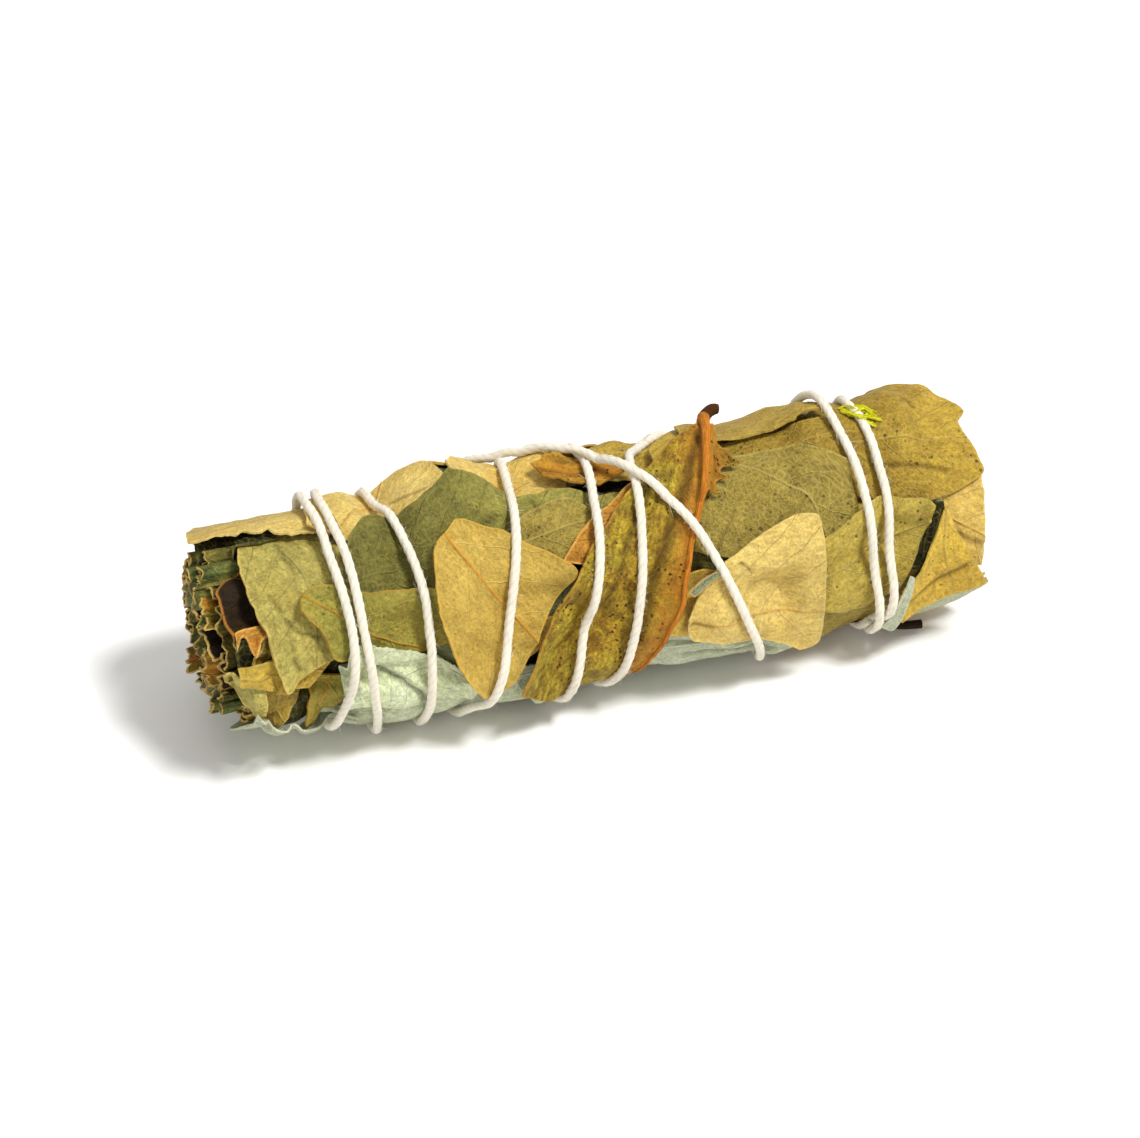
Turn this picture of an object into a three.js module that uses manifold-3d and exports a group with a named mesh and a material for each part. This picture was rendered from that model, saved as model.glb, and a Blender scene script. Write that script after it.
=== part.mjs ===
// A bundle of dried herbs, bound for burning: sage sprigs lie side by side through the middle, with
// broad dried leaves wrapped round them in layers, and one length of cotton twine winds along the
// bundle and crosses back over itself to a knot at the back.
//
// It lies along X with its cut end at -X, and rests on its flattened underside at z = 0.
// Sizes are millimetres. A place on the bundle is [x, angle]: how far along, measured from the
// binding's middle turn, and how far round in degrees, 0 facing the front (-Y), 90 on top and 180 at
// the back. A height is measured outwards from the packed sprigs.

import * as THREE from "three";
import { mergeVertices } from "three/addons/utils/BufferGeometryUtils.js";
import Module from "manifold-3d";

const wasm = await Module();
wasm.setup();

// Driving dimensions
const AXIS_HEIGHT = 15.05; // of the bundle's axis above the surface it rests on
const MIDDLE_X = -2.4; // the place along the bundle that is half way between its ends
const MIDDLE_Y = -0.6; // how far the outline's middle lies behind the axis
const PACK_PROFILE = [
  [-60, 10.6], [-50, 10.3], [-38, 9.9], [-27, 10.3], [-14, 9.8], [0, 9.5],
  [14, 9.8], [28, 10], [39, 10.2], [49, 10.2], [56, 9.8],
]; // [x, radius] of the packed sprigs and the small leaves between them
const SWELL_PROFILE = [
  [-60, 0.4], [-46, 0.5], [-39, -0.4], [-34, 0.2], [-30, -0.3], [-26, 1.7], [-21, 3], [-16, 1.8], [-12, -0.4],
  [-6, 0.3], [-1, -0.6], [5, -0.1], [12, 1], [20, 1.3], [28, 1.3], [33, 0.1], [38, -0.1], [43, 1.4], [50, 2.5],
  [56, 2.7],
]; // [x, radius] more on top, where it swells between the turns of twine
const UNDERSIDE_DEPTH = 8.7; // from the axis down to the packed sprigs' flattened underside
const BLADE = 0.66; // thickness of a leaf
const GAP = 0.26; // left between a leaf and what it lies on
const LEAF_STEP = 5; // side of a leaf's facets
const TWINE_RADIUS = 0.7;
const TWINE_SIDES = 6;
const TWINE_STEP = 3.6; // length of each straight stretch of the twine
const SPRIG_RING = 6.25; // from the axis to the middles of the six outer sprigs
const SPRIG_RADIUS = 3.08;
const STEM_RADIUS = 1.15;
const CUT_END = -57;
const TIP_END = 49;

const MM_PER_DEGREE = THREE.MathUtils.degToRad(16);

const COLOURS = {
  gold: 0xc2a04e,
  paleGold: 0xd0b878,
  tan: 0xae9453,
  olive: 0x8c8443,
  greyOlive: 0x8b8051,
  darkGreen: 0x5d6138,
  greyGreen: 0x6f7350,
  brown: 0x9a6f2e,
  darkBrown: 0x4a3418,
  paleSage: 0xa5ac90,
  sage: 0x7c8a6b,
  twine: 0xeee7d6,
};

function profileAt(profile, x) {
  const next = THREE.MathUtils.clamp(profile.findIndex(([px]) => px >= x), 1, profile.length - 1);
  const [[x0, r0], [x1, r1]] = x > profile.at(-1)[0] ? profile.slice(-2) : profile.slice(next - 1, next + 1);
  return THREE.MathUtils.lerp(r0, r1, THREE.MathUtils.clamp((x - x0) / (x1 - x0), 0, 1));
}

function packRadius(x, angle) {
  const fromTop = Math.abs(THREE.MathUtils.euclideanModulo(angle - 105 + 180, 360) - 180);
  const swell = THREE.MathUtils.smoothstep(110 - fromTop, 0, 85);
  return profileAt(PACK_PROFILE, x) + swell * profileAt(SWELL_PROFILE, x);
}

// The point at a place and height, and the place and height of a point. A height is square to the
// round of the bundle, or to its flat underside.
function pointAt(x, angle, height) {
  const a = THREE.MathUtils.degToRad(angle);
  const round = packRadius(x, angle) + height;
  const down = -Math.sin(a);
  const radius = down > 0 ? Math.min(round, (UNDERSIDE_DEPTH + height) / down) : round;
  return new THREE.Vector3(x, -radius * Math.cos(a), radius * Math.sin(a));
}

function placeOf({ x, y, z }) {
  const angle = THREE.MathUtils.radToDeg(Math.atan2(z, -y));
  return [x, angle, Math.max(Math.hypot(y, z) - packRadius(x, angle), -z - UNDERSIDE_DEPTH)];
}

// How high the leaves laid so far reach, on a grid wrapped round the bundle.
const surface = {
  startX: -66,
  stepX: 0.6,
  stepAngle: 2.4,
  columns: 220,
  turns: 150,
  heights: new Float64Array(220 * 150),

  cell(x, angle, i = 0, j = 0) {
    const column = Math.round((x - this.startX) / this.stepX) + i;
    const turn = Math.round(angle / this.stepAngle) + j;
    const within = THREE.MathUtils.clamp(column, 0, this.columns - 1);
    return within * this.turns + THREE.MathUtils.euclideanModulo(turn, this.turns);
  },

  at(x, angle) {
    return this.heights[this.cell(x, angle)];
  },

  raise(x, angle, height) {
    for (let i = -1; i <= 1; i++)
      for (let j = -1; j <= 1; j++) {
        const cell = this.cell(x, angle, i, j);
        this.heights[cell] = Math.max(this.heights[cell], height);
      }
  },
};

function solidOf(geometry) {
  const bare = geometry.index ? geometry.toNonIndexed() : geometry.clone();
  bare.deleteAttribute("normal");
  bare.deleteAttribute("uv");
  const merged = mergeVertices(bare, 1e-4);
  return new wasm.Manifold(
    new wasm.Mesh({
      numProp: 3,
      vertProperties: merged.attributes.position.array,
      triVerts: new Uint32Array(merged.index.array),
    }),
  );
}

function geometryOf(solid) {
  const mesh = solid.getMesh();
  const geometry = new THREE.BufferGeometry();
  geometry.setAttribute("position", new THREE.BufferAttribute(mesh.vertProperties, 3));
  geometry.setIndex(new THREE.BufferAttribute(mesh.triVerts, 1));
  return geometry;
}

function joined(geometries) {
  return geometries.map(solidOf).reduce((whole, piece) => whole.add(piece));
}

function node(name, geometry, colour, roughness = 0.85) {
  const material = new THREE.MeshStandardMaterial({ color: COLOURS[colour], roughness, metalness: 0 });
  const mesh = new THREE.Mesh(geometry, material);
  mesh.name = name;
  return mesh;
}

// A blade lies between two edges, each a few [x, angle] places from its base to its tip.
// rise says how far it curls away at its base, tip, first edge and second edge.
function leafGeometry({ edges, rise = {} }) {
  const [first, second] = edges.map(
    (places) => new THREE.SplineCurve(places.map(([x, angle]) => new THREE.Vector2(x, angle * MM_PER_DEGREE))),
  );
  const middle = first.getPoint(0.5).distanceTo(second.getPoint(0.5));
  const rows = Math.max(4, Math.round(Math.max(first.getLength(), second.getLength()) / LEAF_STEP));
  const columns = Math.max(3, Math.round(middle / LEAF_STEP));
  const place = (u, v) => {
    const p = first.getPoint(u).lerp(second.getPoint(u), v);
    return [p.x, p.y / MM_PER_DEGREE];
  };
  const index = (row, column) => row * (columns + 1) + column;
  const grid = (of) =>
    Array.from({ length: (rows + 1) * (columns + 1) }, (_, k) =>
      of(Math.floor(k / (columns + 1)), k % (columns + 1)),
    );
  const cornersOf = (row, column) => [
    index(row, column), index(row + 1, column), index(row + 1, column + 1), index(row, column + 1),
  ];
  // Visits places all over each of the blade's facets, with the height there.
  const acrossFacets = (points, visit) => {
    const samples = 8;
    for (let row = 0; row < rows; row++)
      for (let column = 0; column < columns; column++) {
        const corners = cornersOf(row, column);
        const [a, b, c, d] = corners.map((k) => points[k]);
        for (let i = 0; i <= samples; i++)
          for (let j = 0; j <= samples; j++) {
            const [s, t] = [i / samples, j / samples];
            const shares = s > t ? [1 - s, s - t, t, 0] : [1 - t, 0, s, t - s];
            const point = new THREE.Vector3();
            [a, b, c, d].forEach((corner, k) => point.addScaledVector(corner, shares[k]));
            visit(placeOf(point), corners);
          }
      }
  };

  const laidAt = (heights) =>
    grid((row, column) => pointAt(...place(row / rows, column / columns), heights[index(row, column)]));
  // The corners are raised until every facet clears what is under it.
  let heights = grid(() => 0);
  for (let pass = 0; pass < 3; pass++) {
    const raised = [...heights];
    acrossFacets(laidAt(heights), ([x, angle, height], corners) => {
      const short = surface.at(x, angle) + GAP - height;
      for (const corner of corners) raised[corner] = Math.max(raised[corner], heights[corner] + short);
    });
    heights = raised;
  }
  const { base = 0, tip = 0, edge = 0, otherEdge = 0 } = rise;
  heights = grid((row, column) => {
    const [u, v] = [row / rows, column / columns];
    const curl = base * (1 - u) ** 3 + tip * u ** 3 + edge * (1 - v) ** 3 + otherEdge * v ** 3;
    return heights[index(row, column)] + curl;
  });
  const under = laidAt(heights);
  const over = laidAt(heights.map((height) => height + BLADE));
  acrossFacets(over, ([x, angle, height]) => surface.raise(x, angle, height));

  const points = [...under, ...over];
  const lift = under.length;
  const faces = [];
  const quad = (a, b, c, d) => faces.push(a, b, c, a, c, d);
  for (let row = 0; row < rows; row++)
    for (let column = 0; column < columns; column++) {
      const [a, b, c, d] = cornersOf(row, column);
      quad(a, b, c, d);
      faces.push(lift + a, lift + c, lift + b, lift + a, lift + d, lift + c);
    }
  const wall = (a, b) => quad(b, a, lift + a, lift + b);
  for (let row = 0; row < rows; row++) {
    wall(index(row, 0), index(row + 1, 0));
    wall(index(row + 1, columns), index(row, columns));
  }
  for (let column = 0; column < columns; column++) {
    wall(index(0, column + 1), index(0, column));
    wall(index(rows, column), index(rows, column + 1));
  }
  const geometry = new THREE.BufferGeometry().setFromPoints(points);
  geometry.setIndex(faces);
  return outwards(geometry);
}

// Turns a closed geometry's faces round if they point inwards.
function outwards(geometry) {
  const index = geometry.index.array;
  const position = geometry.attributes.position;
  const corners = [0, 1, 2].map(() => new THREE.Vector3());
  let volume = 0;
  for (let i = 0; i < index.length; i += 3) {
    corners.forEach((corner, k) => corner.fromBufferAttribute(position, index[i + k]));
    volume += corners[0].dot(corners[1].clone().cross(corners[2]));
  }
  if (volume < 0)
    for (let i = 0; i < index.length; i += 3) [index[i + 1], index[i + 2]] = [index[i + 2], index[i + 1]];
  return geometry;
}

// The two edges of a whole leaf, pointed at both ends, laid by its middle, heading, length and width.
function wholeLeaf(x, angle, heading, length, width) {
  const turn = THREE.MathUtils.degToRad(heading);
  const along = new THREE.Vector2(Math.cos(turn), Math.sin(turn));
  const across = new THREE.Vector2(-along.y, along.x);
  const centre = new THREE.Vector2(x, angle * MM_PER_DEGREE);
  const stations = [0, 0.12, 0.3, 0.5, 0.7, 0.88, 1];
  const halfWidths = [0.08, 0.62, 0.95, 1, 0.84, 0.48, 0.06];
  return [1, -1].map((side) =>
    stations.map((u, i) => {
      const p = centre
        .clone()
        .addScaledVector(along, (u - 0.5) * length)
        .addScaledVector(across, (side * halfWidths[i] * width) / 2);
      return [p.x, p.y / MM_PER_DEGREE];
    }),
  );
}

// A closed tube along a line that lies round the bundle, each section standing square to the line.
function tubeGeometry(line, radius, sides) {
  const points = [];
  line.forEach((centre, i) => {
    const ahead = line[Math.min(i + 1, line.length - 1)];
    const along = ahead.clone().sub(line[Math.max(i - 1, 0)]).normalize();
    const out = new THREE.Vector3(0, centre.y, centre.z).normalize();
    const across = along.clone().cross(out).normalize();
    out.crossVectors(across, along);
    for (let k = 0; k < sides; k++) {
      const a = ((k + 0.5) / sides) * 2 * Math.PI;
      const corner = centre.clone().addScaledVector(out, radius * Math.cos(a));
      points.push(corner.addScaledVector(across, radius * Math.sin(a)));
    }
  });
  const faces = [];
  for (let i = 0; i < line.length - 1; i++)
    for (let k = 0; k < sides; k++) {
      const [a, b] = [i * sides + k, i * sides + ((k + 1) % sides)];
      faces.push(a, b, b + sides, a, b + sides, a + sides);
    }
  const last = (line.length - 1) * sides;
  for (let k = 1; k < sides - 1; k++) faces.push(0, k + 1, k, last, last + k, last + k + 1);
  const geometry = new THREE.BufferGeometry().setFromPoints(points);
  geometry.setIndex(faces);
  return outwards(geometry);
}

// Sage sprigs: a woody stem with its leaves rolled round it by drying, in two lengths.
function rollSection(radius, turns, startTurn) {
  const facets = 15;
  const inner = 0.8;
  const blade = 0.62;
  const spiral = (offset) =>
    Array.from({ length: facets + 1 }, (_, i) => {
      const share = i / facets;
      const a = (startTurn + share * turns) * 2 * Math.PI;
      const r = THREE.MathUtils.lerp(inner, radius - blade, share) + offset;
      return new THREE.Vector2(r * Math.cos(a), r * Math.sin(a));
    });
  return new THREE.Shape([...spiral(blade), ...spiral(0).reverse()]);
}

function along(geometry, x, y, z) {
  // Extrusions and turned shapes stand along Z, and this lays them along X.
  return geometry.applyMatrix4(new THREE.Matrix4().makeRotationY(Math.PI / 2)).translate(x, y, z);
}

function sprigGeometry(number) {
  const ring = number === 0 ? 0 : SPRIG_RING;
  const angle = THREE.MathUtils.degToRad(number * 60);
  const [y, z] = [-ring * Math.cos(angle), ring * Math.sin(angle)];
  const cut = CUT_END + 1.6 * Math.sin(number * 2.4);
  const tip = TIP_END + 1.5 * Math.cos(number * 1.9);
  const stem = new THREE.CylinderGeometry(STEM_RADIUS, STEM_RADIUS * 0.8, tip - cut - 1, 8);
  stem.rotateZ(Math.PI / 2).translate((cut + tip) / 2, y, z);
  const middle = -8 + 6 * Math.cos(number * 2.1);
  const lengths = [
    [cut + 0.5, middle - 0.6, 0.13 * number],
    [middle + 0.6, tip, 0.31 * number + 0.4],
  ];
  const rolls = lengths.map(([from, to, startTurn]) =>
    along(
      new THREE.ExtrudeGeometry(rollSection(SPRIG_RADIUS, 1.45, startTurn), { depth: to - from, bevelEnabled: false }),
      from, y, z,
    ),
  );
  return geometryOf(joined([stem, ...rolls]));
}

// Leaves, in the order that they were laid on. Each is [name, colour, edges, rise].
const INNER_LEAVES = [0, 1].flatMap((length) =>
  [0, 1, 2, 3].map((quarter) => {
    const x = length === 0 ? -27.5 + 1.5 * Math.sin(quarter * 2) : 23 + 1.2 * Math.cos(quarter * 2);
    const angle = quarter * 90 + (length === 0 ? 20 : 62);
    return [`inner_leaf_${length * 4 + quarter + 1}`, "sage", wholeLeaf(x, angle, length * 180, 56, 19), {}];
  }),
);

const BACK_LEAVES = [
  ["back_leaf_1", "olive", wholeLeaf(-41, 150, 72, 34, 19), {}],
  ["back_leaf_2", "darkGreen", wholeLeaf(-24, 208, 8, 48, 27), {}],
  ["back_leaf_3", "gold", wholeLeaf(-16, 160, -14, 42, 24), {}],
  ["back_leaf_4", "tan", wholeLeaf(40, 170, 84, 46, 25), { otherEdge: 0.6 }],
  ["back_leaf_5", "greyOlive", wholeLeaf(25, 208, 172, 46, 26), {}],
  ["back_leaf_6", "tan", wholeLeaf(16, 152, 12, 40, 24), {}],
  ["back_leaf_7", "brown", wholeLeaf(2, 192, 58, 46, 17), {}],
  ["bottom_leaf_1", "paleSage", wholeLeaf(-38, 258, 4, 38, 24), {}],
  ["bottom_leaf_2", "olive", wholeLeaf(-8, 262, -8, 46, 25), {}],
  ["bottom_leaf_3", "tan", wholeLeaf(31, 262, 176, 42, 25), {}],
  ["bottom_leaf_4", "greyGreen", wholeLeaf(-30, 316, 2, 40, 20), {}],
  ["bottom_leaf_5", "paleSage", wholeLeaf(8, 320, -3, 42, 18), {}],
  ["bottom_leaf_6", "greyOlive", wholeLeaf(38, 322, 186, 32, 20), {}],
];

const FRONT_LEAVES = [
  ["cup_leaf", "darkBrown",
    [[[-56, 80], [-56.3, 62], [-55.6, 44], [-55, 30]], [[-42, 84], [-40, 66], [-40, 46], [-42, 26]]],
    { edge: 0.4 }],
  ["folded_leaf", "tan",
    [[[-56, 26], [-55.5, 14], [-54.5, 0], [-52.5, -14]], [[-42, 22], [-41, 10], [-41, -4], [-43, -18]]],
    { edge: 0.3 }],
  ["top_end_leaf", "tan",
    [[[-58.8, 112], [-57.5, 104], [-52, 96], [-44, 92], [-36, 90]],
      [[-58.8, 116], [-58, 130], [-52, 140], [-44, 142], [-35, 138]]],
    { base: 0.9 }],
  ["end_leaf", "greyGreen",
    [[[-51.4, 100], [-51.2, 80], [-51.4, 62], [-50.6, 42], [-49.2, 20], [-48.2, 5]],
      [[-38, 104], [-35.5, 82], [-35, 62], [-36, 42], [-40, 24], [-46.4, 7]]],
    { edge: 0.5, tip: 0.5 }],
  ["top_leaf_1", "paleGold",
    [[[-39, 78], [-34, 74], [-28, 76], [-23, 84], [-20.4, 94]],
      [[-40, 96], [-37, 116], [-31, 126], [-25, 124], [-20.4, 104]]],
    {}],
  ["top_leaf_2", "paleGold",
    [[[-19.2, 96], [-15, 82], [-10, 78], [-6, 82], [-4.6, 92]],
      [[-19.4, 108], [-17, 124], [-12, 130], [-7, 124], [-4.4, 104]]],
    {}],
  ["dark_leaf", "darkGreen",
    [[[-37.4, 52], [-33, 45], [-25, 43], [-14, 46], [-5, 55], [3, 73]],
      [[-37.2, 68], [-33, 82], [-25, 90], [-15, 91], [-6, 85.5], [3.4, 77]]],
    {}],
  ["ragged_leaf", "brown",
    [[[-6.2, 90], [-2, 84], [3, 82], [8, 84], [12.5, 90]], [[-6.5, 98], [-3, 108], [3, 110], [8, 104], [12.5, 94]]],
    {}],
  ["olive_leaf_1", "olive",
    [[[-44.6, 44], [-42.2, 31], [-39.5, 18], [-33, 10], [-25.5, 14]],
      [[-44.4, 49], [-41.5, 54.5], [-37, 49], [-31, 45.5], [-25.2, 40]]],
    {}],
  ["spotted_leaf", "greyOlive",
    [[[-15, 50], [-11, 44], [-6, 45], [-2.6, 54]], [[-14.6, 62], [-12, 72], [-7.5, 76], [-2.6, 70]]],
    {}],
  ["right_leaf_1", "greyOlive",
    [[[7, 44], [12, 33], [19, 28], [27, 30], [33.5, 42]], [[7.5, 56], [13, 71], [19, 78], [26, 76], [33.5, 58]]],
    {}],
  ["right_leaf_2", "tan",
    [[[14, 78], [19, 72.5], [25, 72], [31.5, 79]], [[14.6, 90], [20, 93], [26, 93], [31, 90]]],
    {}],
  ["right_leaf_3", "tan",
    [[[12.4, 94], [18, 90.5], [23, 93], [28.6, 95.2], [33, 101]],
      [[13.5, 118], [18, 130], [23, 134], [29, 132], [33.6, 118]]],
    { edge: 0.6 }],
  ["right_leaf_4", "tan",
    [[[30.5, 52], [36, 42], [42, 38], [48, 42], [52.6, 52]], [[31, 96], [36, 118], [42, 126], [48, 122], [53.6, 104]]],
    { tip: 0.4 }],
  ["bottom_strip_1", "paleSage",
    [[[2.6, -24], [7, -36], [13, -40], [20, -38], [25, -32]], [[3.6, -8], [8, -5], [13, -11], [19, -16], [25, -22]]],
    {}],
  ["strip_leaf", "brown",
    [[[4.6, 81], [-1, 66.5], [-5.4, 55.5], [-8.6, 44]], [[12.6, 84], [8.5, 62], [4, 48], [0, 34]]],
    {}],
  ["small_leaf", "gold",
    [[[2, 2], [6, -5], [10.5, -6], [13, 0]], [[3, 20], [8, 26], [11.5, 27], [14, 20]]],
    {}],
  ["pale_leaf", "paleSage",
    [[[-40.2, -12], [-39.4, -22], [-34, -26], [-28, -28], [-23, -25]],
      [[-40.4, 12], [-37.6, 23], [-32.6, 18], [-27, 6], [-21.8, -16]]],
    {}],
  ["olive_leaf_2", "olive",
    [[[26, -6], [30, -18], [35, -20], [39.6, -10]], [[26.6, 26], [33, 38], [38.6, 45.5], [44.6, 35]]],
    {}],
  ["right_end_leaf", "paleGold",
    [[[42.5, 30], [43, 12], [46, 0], [51.4, 0]], [[43.2, 37], [46.2, 41], [49.6, 43], [52.7, 45]]],
    { tip: 0.3 }],
  ["lower_flap", "gold",
    [[[-20.4, -17], [-17.6, -17], [-14.4, -12], [-11.6, -4]], [[-18.6, 2], [-16.6, 10.5], [-14.2, 13.6], [-10.6, 14]]],
    {}],
  ["gold_leaf", "gold",
    [[[-23.4, 68.6], [-25.6, 60.5], [-26.5, 42], [-25.9, 18], [-24, -2], [-21.4, -14.6]],
      [[-21.6, 68.8], [-15.6, 62], [-7.1, 38.4], [-10.6, 20], [-14, 4], [-19.4, -12.6]]],
    {}],
  ["right_gold_leaf", "gold",
    [[[7.4, 2], [8.2, -6.5], [14, -14.5], [21, -21.6], [27.4, -28]],
      [[7.3, 6.6], [11.6, 22.5], [16.4, 35], [22.4, 43.8], [27.2, 43]]],
    { tip: 0.4 }],
  ["corner_leaf", "tan",
    [[[43.9, 31], [42.8, 16], [40.2, 1], [38, -14], [38.4, -27]],
      [[44.8, 31.4], [47.6, 17], [50, 0.5], [52.4, -13], [52, -23]]],
    { tip: 0.5, otherEdge: 0.5 }],
];

const BROWN_LEAF = {
  edges: [
    [[14.6, 97.5], [10.4, 90], [4.4, 75.5], [-2.4, 57], [-8.6, 30], [-12.8, 4], [-15.8, -12.5], [-14.5, -24]],
    [[16.8, 97], [15.4, 84.5], [13, 69], [10.6, 49], [7.8, 26], [5, 3], [3, -14], [-3, -32]],
  ],
  rise: { base: 0.5 },
};
// Its stalk stands away from the bundle: [x, angle, height of its middle above the leaves].
const BROWN_STALK = [
  [14.7, 92, 0.35], [15.4, 96, 0.7], [16.4, 103, 1.5], [17.6, 111, 1.5], [19, 118, 1.6], [20.2, 121, 1.7],
];
const BROWN_STALK_RADIUS = 0.95;
// The stalk of a lower leaf, which the twine holds at the front.
const LOWER_STALK = [
  [31, -34, 0.3], [35, -34, 0.5], [38, -35, 0.9], [42, -36, 1.2], [44.2, -36.5, 1.4],
];
const LOWER_STALK_RADIUS = 0.75;

// The twine's route: the front stretch of each turn as it shows, then how it comes round the back.
const TWINE_ROUTE = [
  [37, -145], [38, -180], [38.5, -215], [38.2, -238], [37.5, -255], [37.9, -273], [38, -300], [37.5, -330],
  [37.5, -358], [37.1, -373], [36.3, -390], [35.2, -415], [33.4, -450], [31, -490], [26, -528], [18.5, -562],
  [11.5, -590], [7.1, -610], [4.4, -630], [3.5, -655], [2, -686], [0.4, -714], [-1.3, -740], [-3, -765],
  [-3.6, -800], [-2.6, -850], [-1.4, -900], [-0.6, -940], [-1.2, -984], [-2.4, -1012], [-3.7, -1036],
  [-5.8, -1064], [-7.9, -1095], [-9.6, -1120], [-10.4, -1160], [-10.6, -1210], [-10.8, -1260], [-11.2, -1305],
  [-12.4, -1343], [-13.8, -1373], [-16, -1404], [-18, -1434], [-20.6, -1457], [-23.4, -1490], [-26.4, -1540],
  [-29, -1590], [-30.6, -1640], [-31, -1685], [-29.8, -1715], [-28.4, -1745], [-28.1, -1780], [-28.5, -1812],
  [-28.8, -1845], [-29.8, -1890], [-32.6, -1945], [-35.8, -2000], [-38, -2045], [-38, -2071], [-37.4, -2100],
  [-37.2, -2130], [-36.6, -2158], [-35.8, -2185], [-35.2, -2215], [-36, -2260], [-38, -2310], [-39.6, -2360],
  [-40.2, -2410], [-39.6, -2435], [-39.2, -2465], [-38.8, -2490], [-39.6, -2518], [-40.9, -2540],
  [-41.6, -2570], [-41.8, -2600], [-40.4, -2635], [-35.5, -2668], [-27.5, -2700], [-18, -2729], [-8.6, -2756],
  [-2, -2776], [2, -2790], [6, -2809], [10.3, -2833], [13.3, -2857], [15.8, -2880], [18.4, -2904],
  [20.4, -2935], [22, -2970], [24, -3010], [27.6, -3050], [31, -3085], [32.9, -3120], [33.6, -3145],
  [34.4, -3180], [34.7, -3210], [35.3, -3240], [35.9, -3265], [36.8, -3295], [37.8, -3335], [38.2, -3370],
  [37.4, -3387],
];
const KNOT_TAILS = [
  [[39.5, 210], [42.5, 204], [45, 196]],
  [[35, 219], [32.8, 226], [32.2, 236]],
];
const KNOT_LOOP_RADIUS = 1.25;

function stalkGeometry(route, radius) {
  const places = route.map(([x, angle, height]) => pointAt(x, angle, surface.at(x, angle) + height));
  return tubeGeometry(new THREE.CatmullRomCurve3(places).getPoints(places.length * 2), radius, 6);
}

// How high the twine's middle has to be, at the least, to clear the leaves round a place.
function twineClears([x, angle]) {
  const reach = (TWINE_RADIUS + 0.35) / 2;
  let highest = 0;
  for (let i = -2; i <= 2; i++)
    for (let j = -2; j <= 2; j++)
      highest = Math.max(highest, surface.at(x + i * reach, angle + (j * reach) / MM_PER_DEGREE));
  return highest + GAP + TWINE_RADIUS;
}

// How high it has to be, at the least, to pass over an earlier stretch of itself.
function twinePasses([x, angle], [otherX, otherAngle, otherHeight]) {
  const clear = 2 * TWINE_RADIUS + 0.2;
  const turn = THREE.MathUtils.euclideanModulo(angle - otherAngle + 180, 360) - 180;
  const apart = Math.hypot(x - otherX, turn * MM_PER_DEGREE);
  return apart < clear ? otherHeight + Math.sqrt(clear ** 2 - apart ** 2) : 0;
}

function twineGeometry() {
  const flat = new THREE.CatmullRomCurve3(
    TWINE_ROUTE.map(([x, angle]) => new THREE.Vector3(x, angle * MM_PER_DEGREE, 0)),
  );
  const stretches = Math.round(flat.getLength() / TWINE_STEP);
  const samples = 6; // in each stretch
  flat.arcLengthDivisions = 4 * samples * stretches;
  flat.updateArcLengths();
  const places = flat.getSpacedPoints(samples * stretches).map((p) => [p.x, p.y / MM_PER_DEGREE]);

  const corners = []; // the stretches' ends, each [x, angle, height]
  const laid = []; // places all along the stretches so far, each [x, angle, height]
  for (let k = 0; k < places.length; k += samples) {
    let height = 0;
    for (const place of places.slice(Math.max(0, k - samples), k + samples + 1)) {
      height = Math.max(height, twineClears(place));
      for (const earlier of laid.slice(0, Math.max(0, k - 4 * samples)))
        height = Math.max(height, twinePasses(place, earlier));
    }
    const from = corners.at(-1)?.[2] ?? height;
    for (let i = 1; i <= samples && k > 0; i++) {
      laid.push([...places[k - samples + i], THREE.MathUtils.lerp(from, height, i / samples)]);
    }
    corners.push([...places[k], height]);
  }
  const line = corners.map(([x, angle, height]) => pointAt(x, angle, height));
  const wound = tubeGeometry(line, TWINE_RADIUS, TWINE_SIDES);

  const knotAt = line[0].clone().lerp(line.at(-1), 0.5);
  const loops = [0.5, 2.1].map((turn) => {
    const loop = new THREE.TorusGeometry(KNOT_LOOP_RADIUS, TWINE_RADIUS, 6, 10);
    return loop.rotateX(turn).rotateY(turn / 2).translate(...knotAt.toArray());
  });
  const heart = new THREE.IcosahedronGeometry(KNOT_LOOP_RADIUS, 1).translate(...knotAt.toArray());
  const tails = KNOT_TAILS.map((tail) => {
    const points = tail.map(([x, angle]) => pointAt(x, angle, twineClears([x, angle]) + 0.4));
    const curve = new THREE.CatmullRomCurve3([knotAt, ...points]);
    return tubeGeometry(curve.getPoints(8), TWINE_RADIUS * 0.95, TWINE_SIDES);
  });
  // The lowest turns are pressed flat against the surface that the bundle rests on.
  return geometryOf(joined([wound, ...loops, heart, ...tails]).trimByPlane([0, 0, 1], -AXIS_HEIGHT));
}

const bundle = new THREE.Group();
bundle.name = "herb_bundle";
bundle.position.set(-MIDDLE_X, -MIDDLE_Y, AXIS_HEIGHT);

for (let number = 0; number <= 6; number++)
  bundle.add(node(`sage_sprig_${number + 1}`, sprigGeometry(number), "sage"));

for (const [name, colour, edges, rise] of [...INNER_LEAVES, ...BACK_LEAVES, ...FRONT_LEAVES]) {
  let geometry = leafGeometry({ edges, rise });
  if (name === "bottom_leaf_6")
    geometry = geometryOf(joined([geometry, stalkGeometry(LOWER_STALK, LOWER_STALK_RADIUS)]));
  bundle.add(node(name, geometry, colour));
}

const brownBlade = leafGeometry(BROWN_LEAF);
const brownLeaf = joined([brownBlade, stalkGeometry(BROWN_STALK, BROWN_STALK_RADIUS)]);
bundle.add(node("brown_leaf", geometryOf(brownLeaf), "brown", 0.7));
bundle.add(node("twine", twineGeometry(), "twine", 0.95));

export default bundle;
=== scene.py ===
"""A bundle of dried leaves and sage sprigs, bound with cotton twine for burning, on a plain stage.

Lengths in the tables are millimetres on the bundle. A place on it is (x, angle): how far along from
the middle turn of twine, and how far round in degrees, 0 facing the front (-Y), 90 on top, 180 at the
back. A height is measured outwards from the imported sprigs. Meshes are in metres, in the row frame.
"""

import math

import bpy
import numpy as np
from mathutils import Matrix, Vector


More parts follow.
